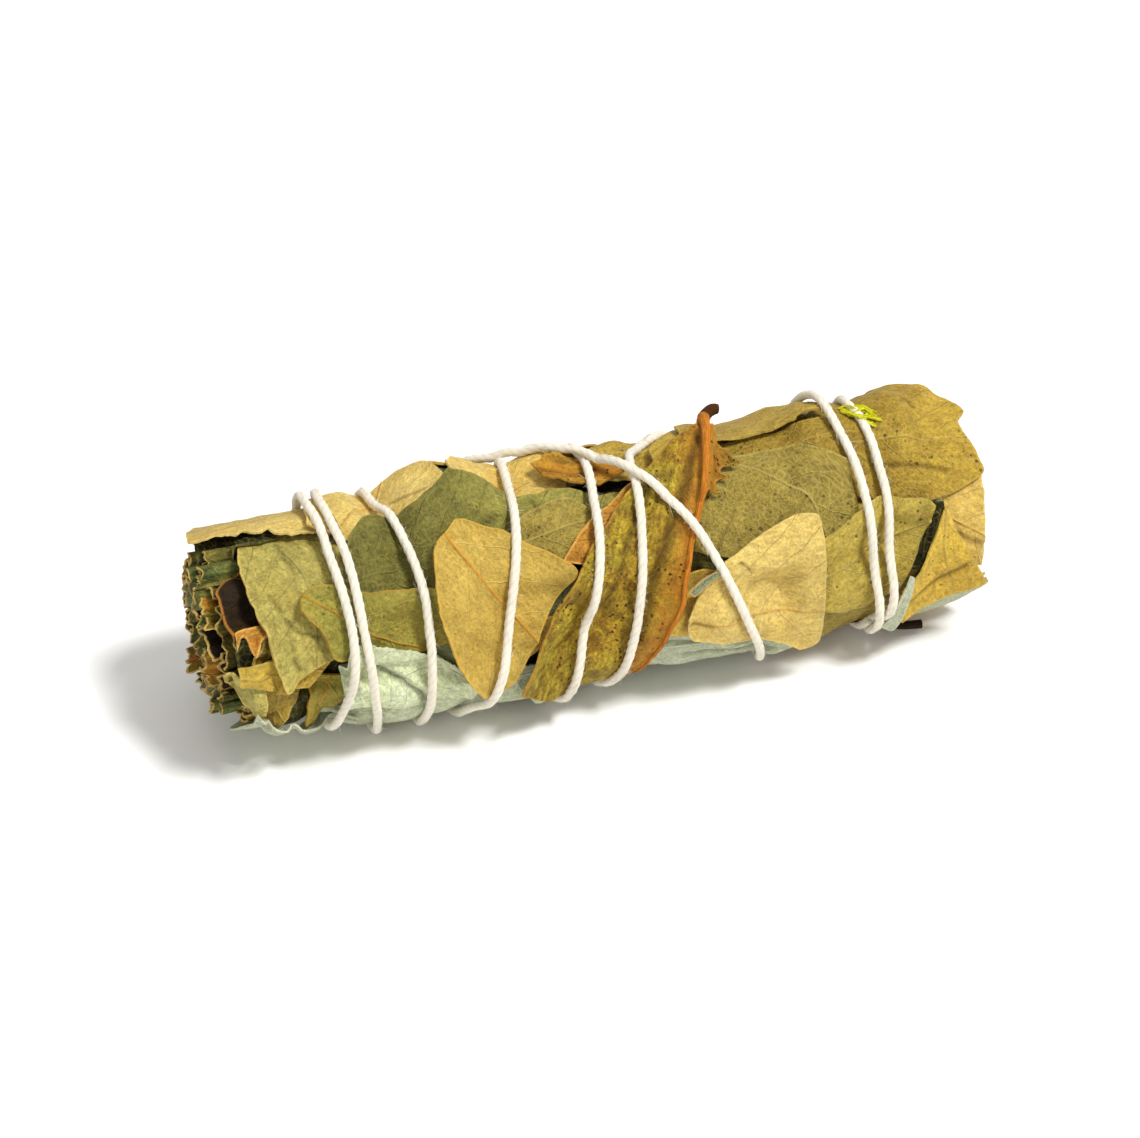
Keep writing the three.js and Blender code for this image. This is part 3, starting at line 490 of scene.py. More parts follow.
FRONT_LEAVES = [
    # The cup leaf's near-black finish is partly painted shade, for the deep cup.
    ("cup_leaf", "dark_brown_leaf",
     [[(-50.2, 84), (-52.6, 75), (-54.8, 66.5), (-54.9, 58), (-54.8, 50), (-54.5, 42), (-54.2, 33.5)],
      [(-43, 86), (-41, 78), (-40, 66), (-40, 56), (-40, 46), (-41, 36), (-44, 28)]],
     {"lift": (0.2, 0.1, 0.5, 0), "ragged": (0.2, 0.7, 0.15, 0.2), "stiff": 1.0}),
    (None, "dark_green_leaf",
     [[(-54.4, 37), (-54.2, 28), (-54, 19)], [(-48, 38), (-48, 28), (-48, 18)]],
     {"stiff": 0.3, "tone": 0.12, "name": "cup_shadow_leaf"}),
    (None, "tan_leaf",
     [[(-50.6, 36), (-50.8, 32), (-51.8, 28), (-52.6, 22)], [(-47.6, 36), (-47.6, 31), (-47.6, 26), (-47.6, 20)]],
     {"stiff": 0.3, "tone": 0.5, "lift": (0, 0, 0.5, 0), "cut": 0.6, "name": "cup_inner_leaf"}),
    (None, "amber_leaf",
     [[(-54.1, 41), (-52.8, 42), (-51.4, 42), (-49.4, 43)],
      [(-54.4, 32.6), (-53.5, 38.4), (-52.7, 37.2), (-52.2, 29.4), (-51.2, 34.6), (-49.2, 39)]],
     {"stiff": 0.4, "lift": (0.1, 0, 0, 0.5), "ragged": (0.1, 0, 0.1, 0.3), "name": "cup_lip"}),
    (None, "dark_green_leaf",
     [[(-52, 12), (-52.4, 0), (-51.4, -14), (-49, -30)], [(-38.6, 14), (-38.6, 0), (-39, -14), (-40, -28)]],
     {"stiff": 0.3, "tone": 0.16, "name": "end_shadow_leaf"}),
    ("folded_leaf", "tan_leaf",
     [[(-52.2, 10), (-52.2, -2), (-52, -10), (-50.8, -24)], [(-44.6, 8), (-45.6, -3), (-47, -11), (-49.8, -24)]],
     {"lift": (0, 0.1, 0.1, 0.1), "ragged": (0.3, 0.1, 0.3, 0.2), "stiff": 0.3, "tone": 0.7}),
    (None, "grey_green_leaf",
     [[(-55.5, 18.5), (-55.7, 11), (-55, 3), (-53.4, -6)], [(-52, 18), (-51, 9), (-50.8, 0), (-51.2, -8)]],
     {"lift": (0.1, 0.2, 0.4, 0.2), "ragged": (0.2, 0.2, 0.35, 0.2), "stiff": 0.4, "name": "olive_flap_1"}),
    (None, "tan_leaf",
     [[(-54.4, 24), (-51, 24), (-48.6, 23)], [(-54.6, 15.5), (-51, 9), (-48.4, 4)]],
     {"lift": (0.2, 0, 0, 0), "ragged": (0.1, 0.1, 0.1, 0.1), "stiff": 0.6, "level": 14.6, "tone": 1.2, "crumple": 0.02,
      "name": "tan_flap"}),
    (None, "olive_leaf",
     [[(-44, 3), (-45.2, -16), (-45.6, -27)], [(-39.4, 1), (-40.6, -14), (-44.2, -30)]],
     {"lift": (0.2, 0.3, 0.5, 0), "ragged": (0.2, 0.2, 0.2, 0.2), "stiff": 0.5, "name": "olive_flap_2"}),
    (None, "pale_sage_leaf",
     [[(-53.2, -8), (-51.2, -21), (-46, -33), (-38, -39)], [(-52.6, -2), (-50.8, -14), (-47.4, -24), (-38.5, -32)]],
     {"teeth": 0.15, "cut": 0.1, "tone": 0.85, "lift": (0, 0, 0, 0.3), "ragged": (0.3, 0.1, 0.2, 0.3), "stiff": 0.6,
      "name": "end_strip"}),
    (None, "tan_leaf",
     [[(-49.6, 6), (-48.2, 4.6), (-45, 2)], [(-46, 24), (-43.5, 22), (-40.5, 20)]],
     {"lift": (0.1, 0, 0, 0.1), "ragged": (0.1, 0.1, 0.05, 0.1), "level": 14.0, "stiff": 0.4, "tone": 1.2,
      "name": "end_leaf_corner"}),
    ("end_leaf", "grey_green_leaf",
     [[(-50.2, 94), (-50.9, 85), (-51.3, 74), (-51.2, 60), (-50.6, 46), (-49.8, 32), (-49.2, 18), (-48.4, 7.5)],
      [(-38, 104), (-35.5, 82), (-35, 62), (-36, 42), (-39.6, 22), (-43.2, 16.2), (-45.8, 12), (-47.8, 7.5)]],
     {"lift": (0, 0.2, 0.2, 0.1), "ragged": (0.1, 0.1, 0.12, 0.1), "midrib": [(-47, 96), (-43, 60), (-44, 8)],
      "stiff": 0.4, "tone": 0.9, "level": lambda x, a: np.interp(a, [0, 45, 70, 92], [15.0, 14.9, 14.5, 13.9]),
      "creases": [([(-45.5, 88), (-45.2, 78), (-44.6, 72), (-44.3, 66)], 0.3, -0.16),
                  ([(-48.4, 56), (-47.5, 48)], 0.25, -0.1), ([(-47, 42), (-45.4, 35), (-43, 31)], 0.3, -0.12),
                  ([(-46.8, 22), (-46.2, 16)], 0.3, -0.12)]}),
    (None, "dark_green_leaf",
     [[(-56.2, 92), (-52, 90), (-45, 90)], [(-55, 140), (-50, 142), (-44, 142)]],
     {"stiff": 0.3, "tone": 0.08, "lift": (0, 0, 0, 0), "ragged": (0.4, 0.1, 0.3, 0.1), "crumple": 0.02,
      "level": lambda x, a: np.interp(a, [94, 104, 118, 140], [9, 13.2, 13.7, 13.6]), "name": "roof_shadow_leaf"}),
    ("top_end_leaf", "pale_gold_leaf",
     [[(-56.6, 100), (-55.6, 98), (-53.8, 97), (-51.5, 96), (-50.2, 95), (-49.2, 97), (-47.4, 93), (-46, 94), (-45, 88.5),
       (-41, 86), (-36, 85)],
      [(-56.8, 101), (-56.4, 112), (-55.2, 124), (-53, 134), (-48, 141), (-42, 142), (-35, 138)]],
     {"lift": (0, 0, 0, 0), "ragged": (0.2, 0.2, 0.3, 0.3), "stiff": 0.5, "crumple": 0.06,
      "tone": lambda x, a: np.interp(a, [88, 100, 112], [1.0, 0.92, 0.72]),
      "level": lambda x, a: np.interp(a, [98, 112, 131, 140], [15.5, 15.1, 14.2, 13.6]) + np.interp(x, [-57, -53], [-0.6, 0])}),
    ("top_leaf_1", "pale_gold_leaf",
     [[(-41, 88), (-38, 80), (-35, 74), (-28, 76), (-23, 84), (-20.5, 93)],
      [(-40, 112), (-38, 122), (-34, 128), (-28, 127), (-23, 120), (-21.2, 108)]],
     {"lift": (0.1, 0.3, 0, 0.1), "rib": 0.1, "midrib": [(-38, 78), (-34.5, 90), (-31.5, 107)],
      "creases": [([(-28.5, 103), (-26, 99), (-24, 98.4)], 0.3, -0.1)]}),
    ("top_leaf_2", "pale_gold_leaf",
     [[(-19.3, 92), (-15, 84), (-10, 80), (-6, 82), (-4.4, 92)],
      [(-20, 106), (-17, 124), (-12, 130), (-7, 124), (-4.2, 106)]],
     {"lift": (0.4, 0.2, 0, 0.1), "ragged": (0.3, 0.3, 0.2, 0.2), "midrib": [(-19, 99), (-4, 104)]}),
    ("dark_leaf", "dark_green_leaf",
     [[(-37.5, 47), (-33, 45), (-28, 44), (-21, 44), (-14, 46), (-5, 55), (3, 73)],
      [(-37.3, 68), (-35.8, 75.6), (-33.3, 82), (-30, 85.8), (-25.4, 89), (-21.2, 93), (-18, 92.4), (-14, 89),
       (-6, 85.4), (3.4, 78)]],
     {"lift": (0.2, 0, 0, 0.3), "ragged": (0.2, 0.1, 0.1, 0.22), "midrib": [(-37, 54), (-14, 66), (3, 75)],
      "crumple": 0.2, "tone": lambda x, a: np.interp(x, [-37, -26, -14], [0.62, 0.68, 1.18]),
      "creases": [([(-18.8, 66.5), (-17.5, 70), (-16, 73)], 0.28, -0.14),
                  ([(-10.3, 82), (-9.9, 75)], 0.25, -0.12)]}),
    (None, "tan_leaf",
     [[(0.5, 90), (4, 84), (9, 85), (12.5, 90)], [(0, 108), (4, 112), (9, 108), (12.5, 97)]],
     {"name": "top_leaf_3", "ragged": (0.3, 0.2, 0.2, 0.3), "lift": (0.2, 0, 0.2, 0.1)}),
    ("ragged_leaf", "brown_leaf",
     [[(-7.8, 93), (-5, 87), (-2, 84.6), (1, 84), (3.4, 86)], [(-8, 104), (-5, 107), (-1, 104), (2, 98), (4, 91)]],
     {"lift": (0.3, 0.2, 0.2, 0.2), "ragged": (0.8, 0.6, 0.5, 0.6), "crumple": 0.2, "tone": 1.1,
      "creases": [([(-7.5, 101), (-5.6, 97), (-3, 95), (0, 95.5)], 0.3, -0.3),
                  ([(-5, 90), (-3, 91.5), (-0.5, 90.5)], 0.25, -0.25)]}),
    ("olive_leaf_1", "olive_leaf",
     [[(-44.9, 45), (-44, 40), (-42.9, 35.5), (-42.1, 28), (-41.2, 19), (-38, 16), (-33.3, 13), (-29, 11), (-25.5, 14)],
      [(-44.6, 50), (-43.6, 54), (-41.9, 55.2), (-39.5, 53), (-36.5, 47.5), (-33, 46), (-29, 45), (-25.2, 42)]],
     {"lift": (0.4, 0, 0.1, 0.3), "ragged": (0.1, 0.1, 0.12, 0.1), "rib": 0.14,
      "tone": 0.94, "midrib": [(-43.8, 50.5), (-40.3, 41), (-36.5, 29), (-33, 19.5), (-30, 14.5)], "rim_ridge": 0.08}),
    ("spotted_leaf", "grey_olive_leaf",
     [[(-15, 52), (-11, 44), (-6, 45), (-2.6, 54)],
      [(-14.2, 64), (-13, 70), (-11, 73.6), (-8, 76), (-5, 75), (-2.6, 70)]],
     {"tone": 0.9, "midrib": [(-14, 58), (-3, 64)], "ragged": (0.1, 0.1, 0.1, 0.15)}),
    (None, "dark_green_leaf",
     [[(-3, 34), (4, 4), (14, -14), (26, -14), (31, 6)], [(0, 56), (6, 62), (14, 60), (25, 50), (32, 34)]],
     {"name": "front_under_leaf", "tone": 0.55, "facet": 0.8}),
    (None, "tan_leaf",
     [[(8, 62), (14, 40), (24, 32), (36, 44), (42, 60)], [(8, 100), (14, 124), (24, 130), (34, 124), (42, 104)]],
     {"name": "right_under_leaf", "facet": 0.8}),
    # A near-black sheet under the corner leaf's left edge: painted shadow in the gap beside it.
    (None, "dark_green_leaf",
     [[(40.6, -8), (42, 2), (43.2, 16), (44, 32)], [(46, -10), (47, 2), (47.6, 16), (47, 34)]],
     {"name": "painted_shadow_under_leaf", "tone": 0.07}),
    ("right_end_leaf", "pale_gold_leaf",
     [[(46, 26), (47, 10), (49, 0), (51.3, -4)], [(45.6, 56), (47.6, 58), (50, 58), (52.3, 58)]],
     {"lift": (0, 0.2, 0, 0), "midrib": [(43, 38), (52, 14)], "ragged": (0.1, 0.2, 0.1, 0.1), "level": 14.8,
      "creases": [([(47.4, 19), (49.6, 13), (52.3, 9)], 0.4, -0.2)]}),
    ("right_leaf_4", "tan_leaf",
     [[(42, 38), (36, 46), (31, 54), (31, 75), (31, 96), (33, 112), (38, 124)],
      [(47, 41), (52.2, 47), (52.2, 54), (52, 61.5), (51.4, 74), (51.7, 80.5), (53.2, 86.5), (53.1, 88), (52.4, 97),
       (51.4, 104), (49, 114), (45, 124)]],
     {"tone": lambda x, a: np.interp(x, [34, 41, 50], [0.78, 0.86, 1.12]), "lift": (0, 0, 0, 0), "ragged": (0.1, 0.2, 0.2, 0.12), "midrib": [(31, 80), (53, 66)], "level": 14.6,
      "creases": [([(39, 62), (43, 58), (47, 52)], 0.35, -0.1), ([(45, 98), (46, 92)], 0.3, -0.12)]}),
    ("right_leaf_2", "tan_leaf",
     [[(13, 76), (19, 73), (25, 72), (34.2, 66)], [(13.6, 92), (20, 96), (27, 98), (33.6, 95)]],
     {"tone": 0.72, "ragged": (0.2, 0.1, 0.25, 0.2), "midrib": [(15, 84), (30, 84)],
      "creases": [([(23.3, 73), (26, 76), (30, 78)], 0.4, -0.15)]}),
    ("right_leaf_1", "grey_olive_leaf",
     [[(7, 44), (12, 33), (19, 27), (27, 27), (33.5, 38)], [(7.5, 60), (13, 76), (19, 82), (27, 80), (33.8, 66)]],
     {"tone": 0.88, "rib": 0.1, "rim_ridge": 0.08, "midrib": [(19.5, 76), (21, 72.5), (24.6, 61), (27.1, 53), (28, 40)]}),
    ("right_leaf_3", "tan_leaf",
     [[(12.4, 90), (17.4, 90.3), (21, 92.4), (25, 94), (28.6, 94.4), (29.6, 97), (33.5, 97.5)],
      [(13.5, 118), (18, 130), (23, 134), (29, 132), (33.2, 118)]],
     {"lift": (0, 0, 0.4, 0), "ragged": (0.2, 0.1, 0.15, 0.2), "midrib": [(13, 106), (33, 110)], "tone": 0.9}),
    ("bottom_strip_1", "pale_sage_leaf",
     [[(2.6, -24), (7, -36), (13, -40), (20, -38), (25, -32)],
      [(3.6, -8), (6, -5), (9, -6), (13, -11), (19, -16), (25, -22)]],
     {"teeth": 0.15, "lift": (0, 0, 0, 0.4), "midrib": [(3, -14), (25, -28)], "cut": 0.5, "crumple": 0.3,
      "creases": [([(5, -11), (10, -17), (17, -24)], 0.4, -0.4), ([(8, -26), (14, -30), (21, -33)], 0.4, -0.35)]}),
    (None, "pale_sage_leaf",
     [[(-22, -30), (-17, -34), (-10, -34), (-3, -30)], [(-21.4, -16), (-17, -17), (-12, -20), (-3, -24)]],
     {"teeth": 0.15, "lift": (0, 0, 0, 0.3), "stiff": 0.7, "name": "bottom_strip_2"}),
    ("strip_leaf", "amber_leaf",
     [[(5.4, 80), (2.5, 75.5), (-1.7, 66), (-5.8, 55), (-8.6, 44)], [(12.6, 84), (8.5, 62), (4, 48), (0, 34)]],
     {"tone": 1.05, "ragged": (0.1, 0.1, 0.12, 0.1), "rim_ridge": 0.12, "midrib": [(10, 84), (-4, 40)]}),
    ("small_leaf", "gold_leaf",
     [[(2, 2), (6, -5), (10.5, -6), (13, 0)], [(3, 20), (8, 25), (11.5, 26), (14, 20)]],
     {"midrib": [(3, 10), (14, 12)]}),
    ("pale_leaf", "pale_sage_leaf",
     [[(-40.2, -12), (-39.4, -20), (-35, -20), (-30, -21), (-26, -24), (-23, -22)],
      [(-40.4, 10), (-39, 23.5), (-36.4, 22.8), (-33.4, 17.6), (-30, 12.6), (-27.4, 6.6), (-25.2, -0.6),
       (-23.4, -8), (-21.9, -16)]],
     {"tone": lambda x, a: 1.46 + 0.4 * np.exp(-(((x + 37) / 6) ** 2) - ((a + 14) / 12) ** 2), "teeth": 0.1,
      "lift": (0, 0.1, 0, 0.2), "crumple": 0.2, "stiff": 1.0,
      "midrib": [(-38, 16), (-35.2, 7), (-32, -3), (-30, -12), (-29, -19)],
      "creases": [([(-36.5, 9), (-35.3, 5.6), (-33.4, 0), (-31.4, -6), (-30, -12), (-29.2, -19)], 0.42, -0.5),
                  ([(-35.6, 11.5), (-34.2, 7), (-32.2, 1), (-30, -5), (-28.6, -12)], 0.6, 0.35)]}),
    ("olive_leaf_2", "grey_olive_leaf",
     [[(26, -6), (30, -14), (34, -15), (38, -8), (40.4, 4), (42, 17), (43.2, 29)],
      [(26.6, 29), (30.4, 35), (34, 41.5), (37.1, 46), (40, 42.6), (42.9, 40.8), (44.2, 36.6)]],
     {"tone": 1.5, "midrib": [(27, 8), (44, 30)], "rib": 0.08, "lift": (0, 0, 0, 0.3)}),
    ("lower_flap", "gold_leaf",
     [[(-20.4, -17), (-17.6, -17), (-14.4, -12), (-11.6, -4)],
      [(-18.4, 2), (-17.1, 9), (-15, 12.2), (-13, 13.4), (-10.6, 14)]],
     {"tone": 1.2, "rim_ridge": 0.1, "rib": 0.1, "stiff": 0.8, "midrib": [(-16.5, 9), (-15, 2), (-14.6, -8)]}),
    ("gold_leaf", "gold_leaf",
     [[(-22.5, 68.9), (-23.8, 65.6), (-25.5, 61), (-26.2, 54), (-26.6, 46), (-26.8, 38), (-26.6, 29), (-25.8, 17.6),
       (-24.7, 3.5), (-23.3, -6.4), (-21.6, -14.6)],
      [(-21.9, 69), (-20.2, 68), (-18.6, 66.4), (-15, 60.8), (-12.1, 54.6), (-9.6, 47.4), (-7, 38.2), (-8.6, 31),
       (-10.8, 20.6), (-12.4, 10), (-14, -3), (-17, -12), (-19.6, -14.2)]],
     {"lift": (0.2, 0.1, 0.6, 0), "ragged": (0.05, 0.05, 0.1, 0.08), "rib": 0.26, "rim_ridge": 0.16,
      "midrib": [(-23.9, 66), (-21, 48), (-18.3, 33.6), (-14.8, 13.4), (-13, 2)], "crumple": 0.12, "tone": 0.87}),
    ("right_gold_leaf", "pale_gold_leaf",
     [[(7.5, 2), (7.8, -5.5), (10.4, -9), (14, -13.6), (17.6, -16), (21.2, -20.6), (24.4, -28)],
      [(7.4, 6.8), (9.6, 16), (12.9, 28), (15.6, 32.4), (18.3, 37), (22.1, 42.4), (24.9, 45.2), (24.9, 45.2), (27.1, 43.4),
       (27.3, 42), (27.4, 30), (27.2, 8), (27.3, -12), (27.4, -28)]],
     {"lift": (0.15, 0.2, 0.1, 0.2), "ragged": (0.1, 0.1, 0.12, 0.1), "midrib": [(7.6, 4), (12, 0), (20, -4), (27, -6)],
      "tone": lambda x, a: np.interp(a, [0, 16, 36], [0.9, 0.94, 1.0]), "rim_ridge": 0.1, "crumple": 0.22,
      "creases": [([(8, 3.6), (9.5, 1.6), (10.8, -0.6)], 0.3, -0.15), ([(15.7, 27.4), (17.4, 20.6)], 0.25, -0.1)]}),
    (None, "pale_sage_leaf",
     [[(39.2, -20), (44, -22), (48.5, -22), (52.4, -15)], [(40, -45), (44.5, -43), (49, -36), (52.9, -19)]],
     {"cut": 0.9, "ragged": (0.2, 0.1, 0.1, 0.25), "stiff": 1.0, "level": 15.0, "name": "corner_underside"}),
    ("corner_leaf", "tan_leaf",
     [[(44.2, 34.4), (43.6, 29), (43, 20), (42, 11), (40.8, 4), (39, -2.4), (37.8, -10), (37.8, -18), (39.4, -25)],
      [(44.7, 35.4), (46.2, 27.4), (47.8, 17), (49.2, 6), (50.2, 0), (50.9, -5), (51.5, -10), (51.7, -13)]],
     {"tone": 1.52, "lift": (0.9, 0.3, 1.1, 0.3), "ragged": (0.05, 0.15, 0.1, 0.1), "stiff": 2.2, "level": 15.0,
      "midrib": [(44.6, 33), (45, 14), (46.4, -4), (48, -22)],
      "creases": [([(48.2, 3), (44, -6), (40.6, -13.6)], 0.4, -0.2)]}),
]

BROWN_BLADE = (
    [[(14.9, 99), (13.4, 96.4), (11.7, 93.4), (8.7, 86), (4, 75.2), (0.4, 65), (-1.7, 57.2), (-4.2, 49), (-6.5, 39.6),
      (-8.8, 29.4), (-11, 17.2), (-12.7, 5.2), (-14.2, -5), (-16.4, -13.6), (-15.4, -20), (-12.4, -27)],
     [(16.4, 98.6), (16.1, 96), (15.6, 90), (14.2, 80), (12.7, 67), (10.6, 51), (8.7, 35), (6.7, 17.7), (4.8, 4.7),
      (3.4, -7), (2.4, -16), (1.4, -26), (-1, -37)]],
    {"lift": (0.1, 0.2, 0.25, 0.1), "ragged": (0.1, 0.3, 0.1, 0.04), "rib": 0.1, "stiff": 2.0, "crumple": 0.25,
     "midrib": [(16.2, 99), (15.6, 91), (13.9, 80), (12.4, 67), (10.3, 51), (8.4, 35), (6.4, 17.7), (4.5, 4.7),
                (3, -8), (1.6, -18)],
     "creases": [([(14, 88.5), (11.1, 73), (7.6, 54), (4.4, 32.5), (2.2, 13), (0.4, -4)], 0.75, -0.4),
                 ([(5.6, 72), (3.4, 63.5), (-0.5, 39.5), (-3.7, 15)], 0.4, -0.2)]},
)
TORN_FLAP = (
    [[(15.8, 91), (14.8, 83), (13.9, 76), (12.8, 66), (12, 61)],
     [(16.4, 91), (16.6, 85), (17.4, 79), (18.6, 73.4), (18.6, 73.4), (16.4, 73), (15.6, 70), (16.6, 67.4), (16.6, 67.4),
      (14.6, 67), (14.2, 64), (14.8, 61.4), (14.8, 61.4), (13, 61.6), (12.4, 60)]],
    {"lift": (0.2, 0.1, 0, 0.5), "ragged": (0.1, 0.2, 0.1, 0.5), "crumple": 0.2, "stiff": 0.6, "tone": 0.72},
)
# From the bent tip of the stalk down the leaf's right edge: x, angle, height above the blade, radius.
BROWN_MIDRIB = [
    (19.0, 107.4, 2.9, 0.7), (18.2, 107.2, 2.9, 0.85), (17.2, 106, 2.4, 0.86), (16.5, 104, 1.6, 0.92),
    (16.1, 100, 0.7, 0.85), (15.8, 95, 0.3, 0.68), (14.2, 80, 0.14, 0.54), (12.7, 67, 0.1, 0.47), (10.6, 51, 0.1, 0.42),
    (8.7, 35, 0.1, 0.38), (6.7, 17.7, 0.1, 0.34), (4.8, 4.7, 0.08, 0.3), (3.3, -8, 0.05, 0.26), (2.2, -18, 0.02, 0.22), (0.6, -30, 0.0, 0.16),
]
LOWER_STALK = [(33, -47, -0.8), (37.6, -49, 0.0), (41, -50, 1.4), (44.6, -50, 2.6)]


# Twine

TWINE_ROUTE = [
    (37, -145), (38, -180), (38.5, -215), (38.2, -238), (37.5, -255), (37.9, -273), (38, -300), (37.5, -330),
    (37.5, -358), (37.1, -373), (36.3, -390), (35.2, -415), (33.4, -450), (31, -490), (26, -528), (18.5, -562),
    (11.5, -590), (7.1, -610), (4.4, -630), (3.5, -655), (2, -686), (0.4, -714), (-1.3, -740), (-3, -765),
    (-3.6, -800), (-2.6, -850), (-1.4, -900), (-0.6, -940), (-1.2, -984), (-2.4, -1012), (-3.7, -1036),
    (-5.8, -1064), (-7.9, -1095), (-9.6, -1120), (-10.4, -1160), (-10.6, -1210), (-10.8, -1260), (-11.2, -1305),
    (-12.4, -1343), (-13.8, -1373), (-16, -1404), (-18, -1434), (-20.6, -1457), (-23.4, -1490), (-26.4, -1540),
    (-29, -1590), (-30.6, -1640), (-31, -1685), (-29.8, -1715), (-28.4, -1745), (-28.1, -1780), (-28.5, -1812),
    (-28.8, -1845), (-29.8, -1890), (-32.6, -1945), (-35.8, -2000), (-38, -2045), (-38, -2071), (-37.4, -2100),
    (-37.2, -2130), (-36.6, -2158), (-35.8, -2185), (-35.2, -2215), (-36, -2260), (-38, -2310), (-39.6, -2360),
    (-40.2, -2410), (-39.6, -2435), (-39.2, -2465), (-38.8, -2490), (-39.6, -2518), (-40.9, -2540),
    (-41.6, -2570), (-41.8, -2600), (-40.4, -2635), (-35.5, -2668), (-27.5, -2700), (-18, -2729), (-8.6, -2756),
    (-2.4, -2773), (0.6, -2787), (3.4, -2801), (6.4, -2813), (10.3, -2833), (13.3, -2857), (15.8, -2880), (18.4, -2904),
    (20.4, -2935), (22, -2970), (24, -3010), (27.6, -3050), (31, -3085), (32.9, -3120), (33.6, -3145),
    (34.4, -3180), (34.7, -3210), (35.3, -3240), (35.9, -3265), (36.8, -3295), (37.8, -3335), (38.2, -3370),
    (37.4, -3387),
]


# The two tails from the knot: x, angle, height above the leaves.
TWINE_TAILS = [
    [(37.4, 214, 1.6), (39.5, 210, 0.9), (42.5, 204, 0.7), (45, 196, 1.3)],
    [(37, 214, 1.6), (35, 217, 0.9), (32.6, 221, 0.8), (30.4, 227, 1.2)],
]


def twine_plan():
    """The twine's route on the unrolled round, a point every 0.4 mm."""
    plan = [(x, a * ROUND) for x, a in TWINE_ROUTE]
    _, run = resample(plan, 10)
    return resample(plan, round(run / 0.4))[0]


def squeeze(plan, bite):
    """Presses the round in under the twine, with small puckers beside it."""
    x, y = BUNDLE.x + 0 * BUNDLE.angle, BUNDLE.angle * ROUND + 0 * BUNDLE.x
    nearest, run = np.full(x.shape, 99.0), np.zeros(x.shape)
    full = 360 * ROUND
    for k, (px, py) in enumerate(plan[::2]):
        i = int((px - BUNDLE.START) / BUNDLE.STEP)
        cut = slice(max(0, i - 20), i + 21)
        turn = np.mod(y[cut] - py + full / 2, full) - full / 2
        away = np.hypot(x[cut] - px, turn)
        near = away < nearest[cut]
        nearest[cut] = np.where(near, away, nearest[cut])
        run[cut] = np.where(near, k * 0.8, run[cut])
    press = bite * (np.exp(-((nearest / 1.1) ** 2)) * 0.45 + np.exp(-((nearest / 3.2) ** 2)) * 0.55)
    pucker = 0.13 * waves(5, 2.8, run, 0.15 * nearest) * np.exp(-(((nearest - 1.8) / 1.6) ** 2))
    BUNDLE.give = BUNDLE.give + press + pucker


def twine_line(plan, radius):
    """The twine's middle line, over the leaves and over its own earlier turns."""
    x, y = plan[:, 0], plan[:, 1]
    top = np.maximum.reduce(
        [BUNDLE.sample(BUNDLE.heights, x + i, (y + j) / ROUND) for i in (-0.4, 0, 0.4) for j in (-0.4, 0, 0.4)]
    )
    count, full = len(plan), 360 * ROUND
    high = np.maximum.reduce([np.roll(top, k) for k in range(-4, 5)])
    weights = np.exp(-((np.arange(-14, 15) / 7.0) ** 2))
    height = np.convolve(np.pad(high, 14, mode="edge"), weights / weights.sum(), "valid") + radius * 0.75
    clear = 1.9 * radius
    for i in range(60, count):
        turn = np.mod(y[i] - y[: i - 40] + full / 2, full) - full / 2
        away = np.hypot(x[i] - x[: i - 40], turn)
        close = np.flatnonzero(away < clear)
        if len(close):
            need = (height[close] + np.sqrt(clear**2 - away[close] ** 2)).max()
            lo, hi = max(0, i - 16), min(count, i + 17)
            drop = ((np.arange(lo, hi) - i) * 0.4 / 5.0) ** 2 * 1.2
            height[lo:hi] = np.maximum(height[lo:hi], need - drop)
    return BUNDLE.point(x, y / ROUND, height)


def fuzz(name, line, radius, count):
    """Loose cotton fibres that stand off the twine, each a thin three-sided hair."""
    draw = np.random.default_rng(9)
    along = np.gradient(line, axis=0)
    along /= np.linalg.norm(along, axis=1)[:, None]
    out = (line - MIDDLE) * [0, 1, 1]
    side = np.cross(along, out)
    side /= np.linalg.norm(side, axis=1)[:, None]
    out = np.cross(side, along)
    at = draw.integers(8, len(line) - 8, count)
    turn = draw.uniform(-0.62, 0.62, count) * math.pi
    face = np.cos(turn)[:, None] * out[at] + np.sin(turn)[:, None] * side[at]
    bend = draw.normal(0, 1, (count, 3))
    lean = draw.normal(0, 1, (count, 1)) * along[at] + 0.35 * draw.normal(0, 1, (count, 3))
    steps = np.linspace(0, 1, 4)[:, None, None]
    size = draw.uniform(0.3, 1.2, count)[:, None]
    spine = line[at] + face * radius * 0.85 + size * (
        steps * (0.45 * face + 0.6 * lean) + steps**2 * 0.35 * bend - steps**2 * 0.25 * face
    )
    spine = np.moveaxis(spine, 0, 1)
    corner = np.stack([np.cross(lean, face), face, -np.cross(lean, face) - face], 1)
    corner /= np.linalg.norm(corner, axis=2)[..., None]
    thin = np.array([0.03, 0.027, 0.02, 0.008])[None, :, None, None]
    points = (spine[:, :, None] + thin * corner[:, None]).reshape(-1, 3)
    points[:, 2] = np.maximum(points[:, 2], 0.02)
    start = np.arange(count)[:, None, None] * 12
    ring = np.arange(3)[None, :, None] * 3
    k = np.arange(3)[None, None]
    sides_of = np.stack([start + ring + k, start + ring + (k + 1) % 3, start + ring + 3 + (k + 1) % 3, start + ring + 3 + k], -1)
    ends = [(12 * n + 2, 12 * n + 1, 12 * n) for n in range(count)] + [(12 * n + 9, 12 * n + 10, 12 * n + 11) for n in range(count)]
    mesh = bpy.data.meshes.new(name)
    mesh.from_pydata((points * MM).tolist(), [], sides_of.reshape(-1, 4).tolist() + ends)
    mesh.uv_layers.new(name="Blade")
    mesh.attributes.new("groove", "FLOAT", "POINT").data.foreach_set("value", np.full(len(points), 1.1, np.float32))
    piece = bpy.data.objects.new(name, mesh)
    bpy.context.scene.collection.objects.link(piece)
    return piece


# Finishes


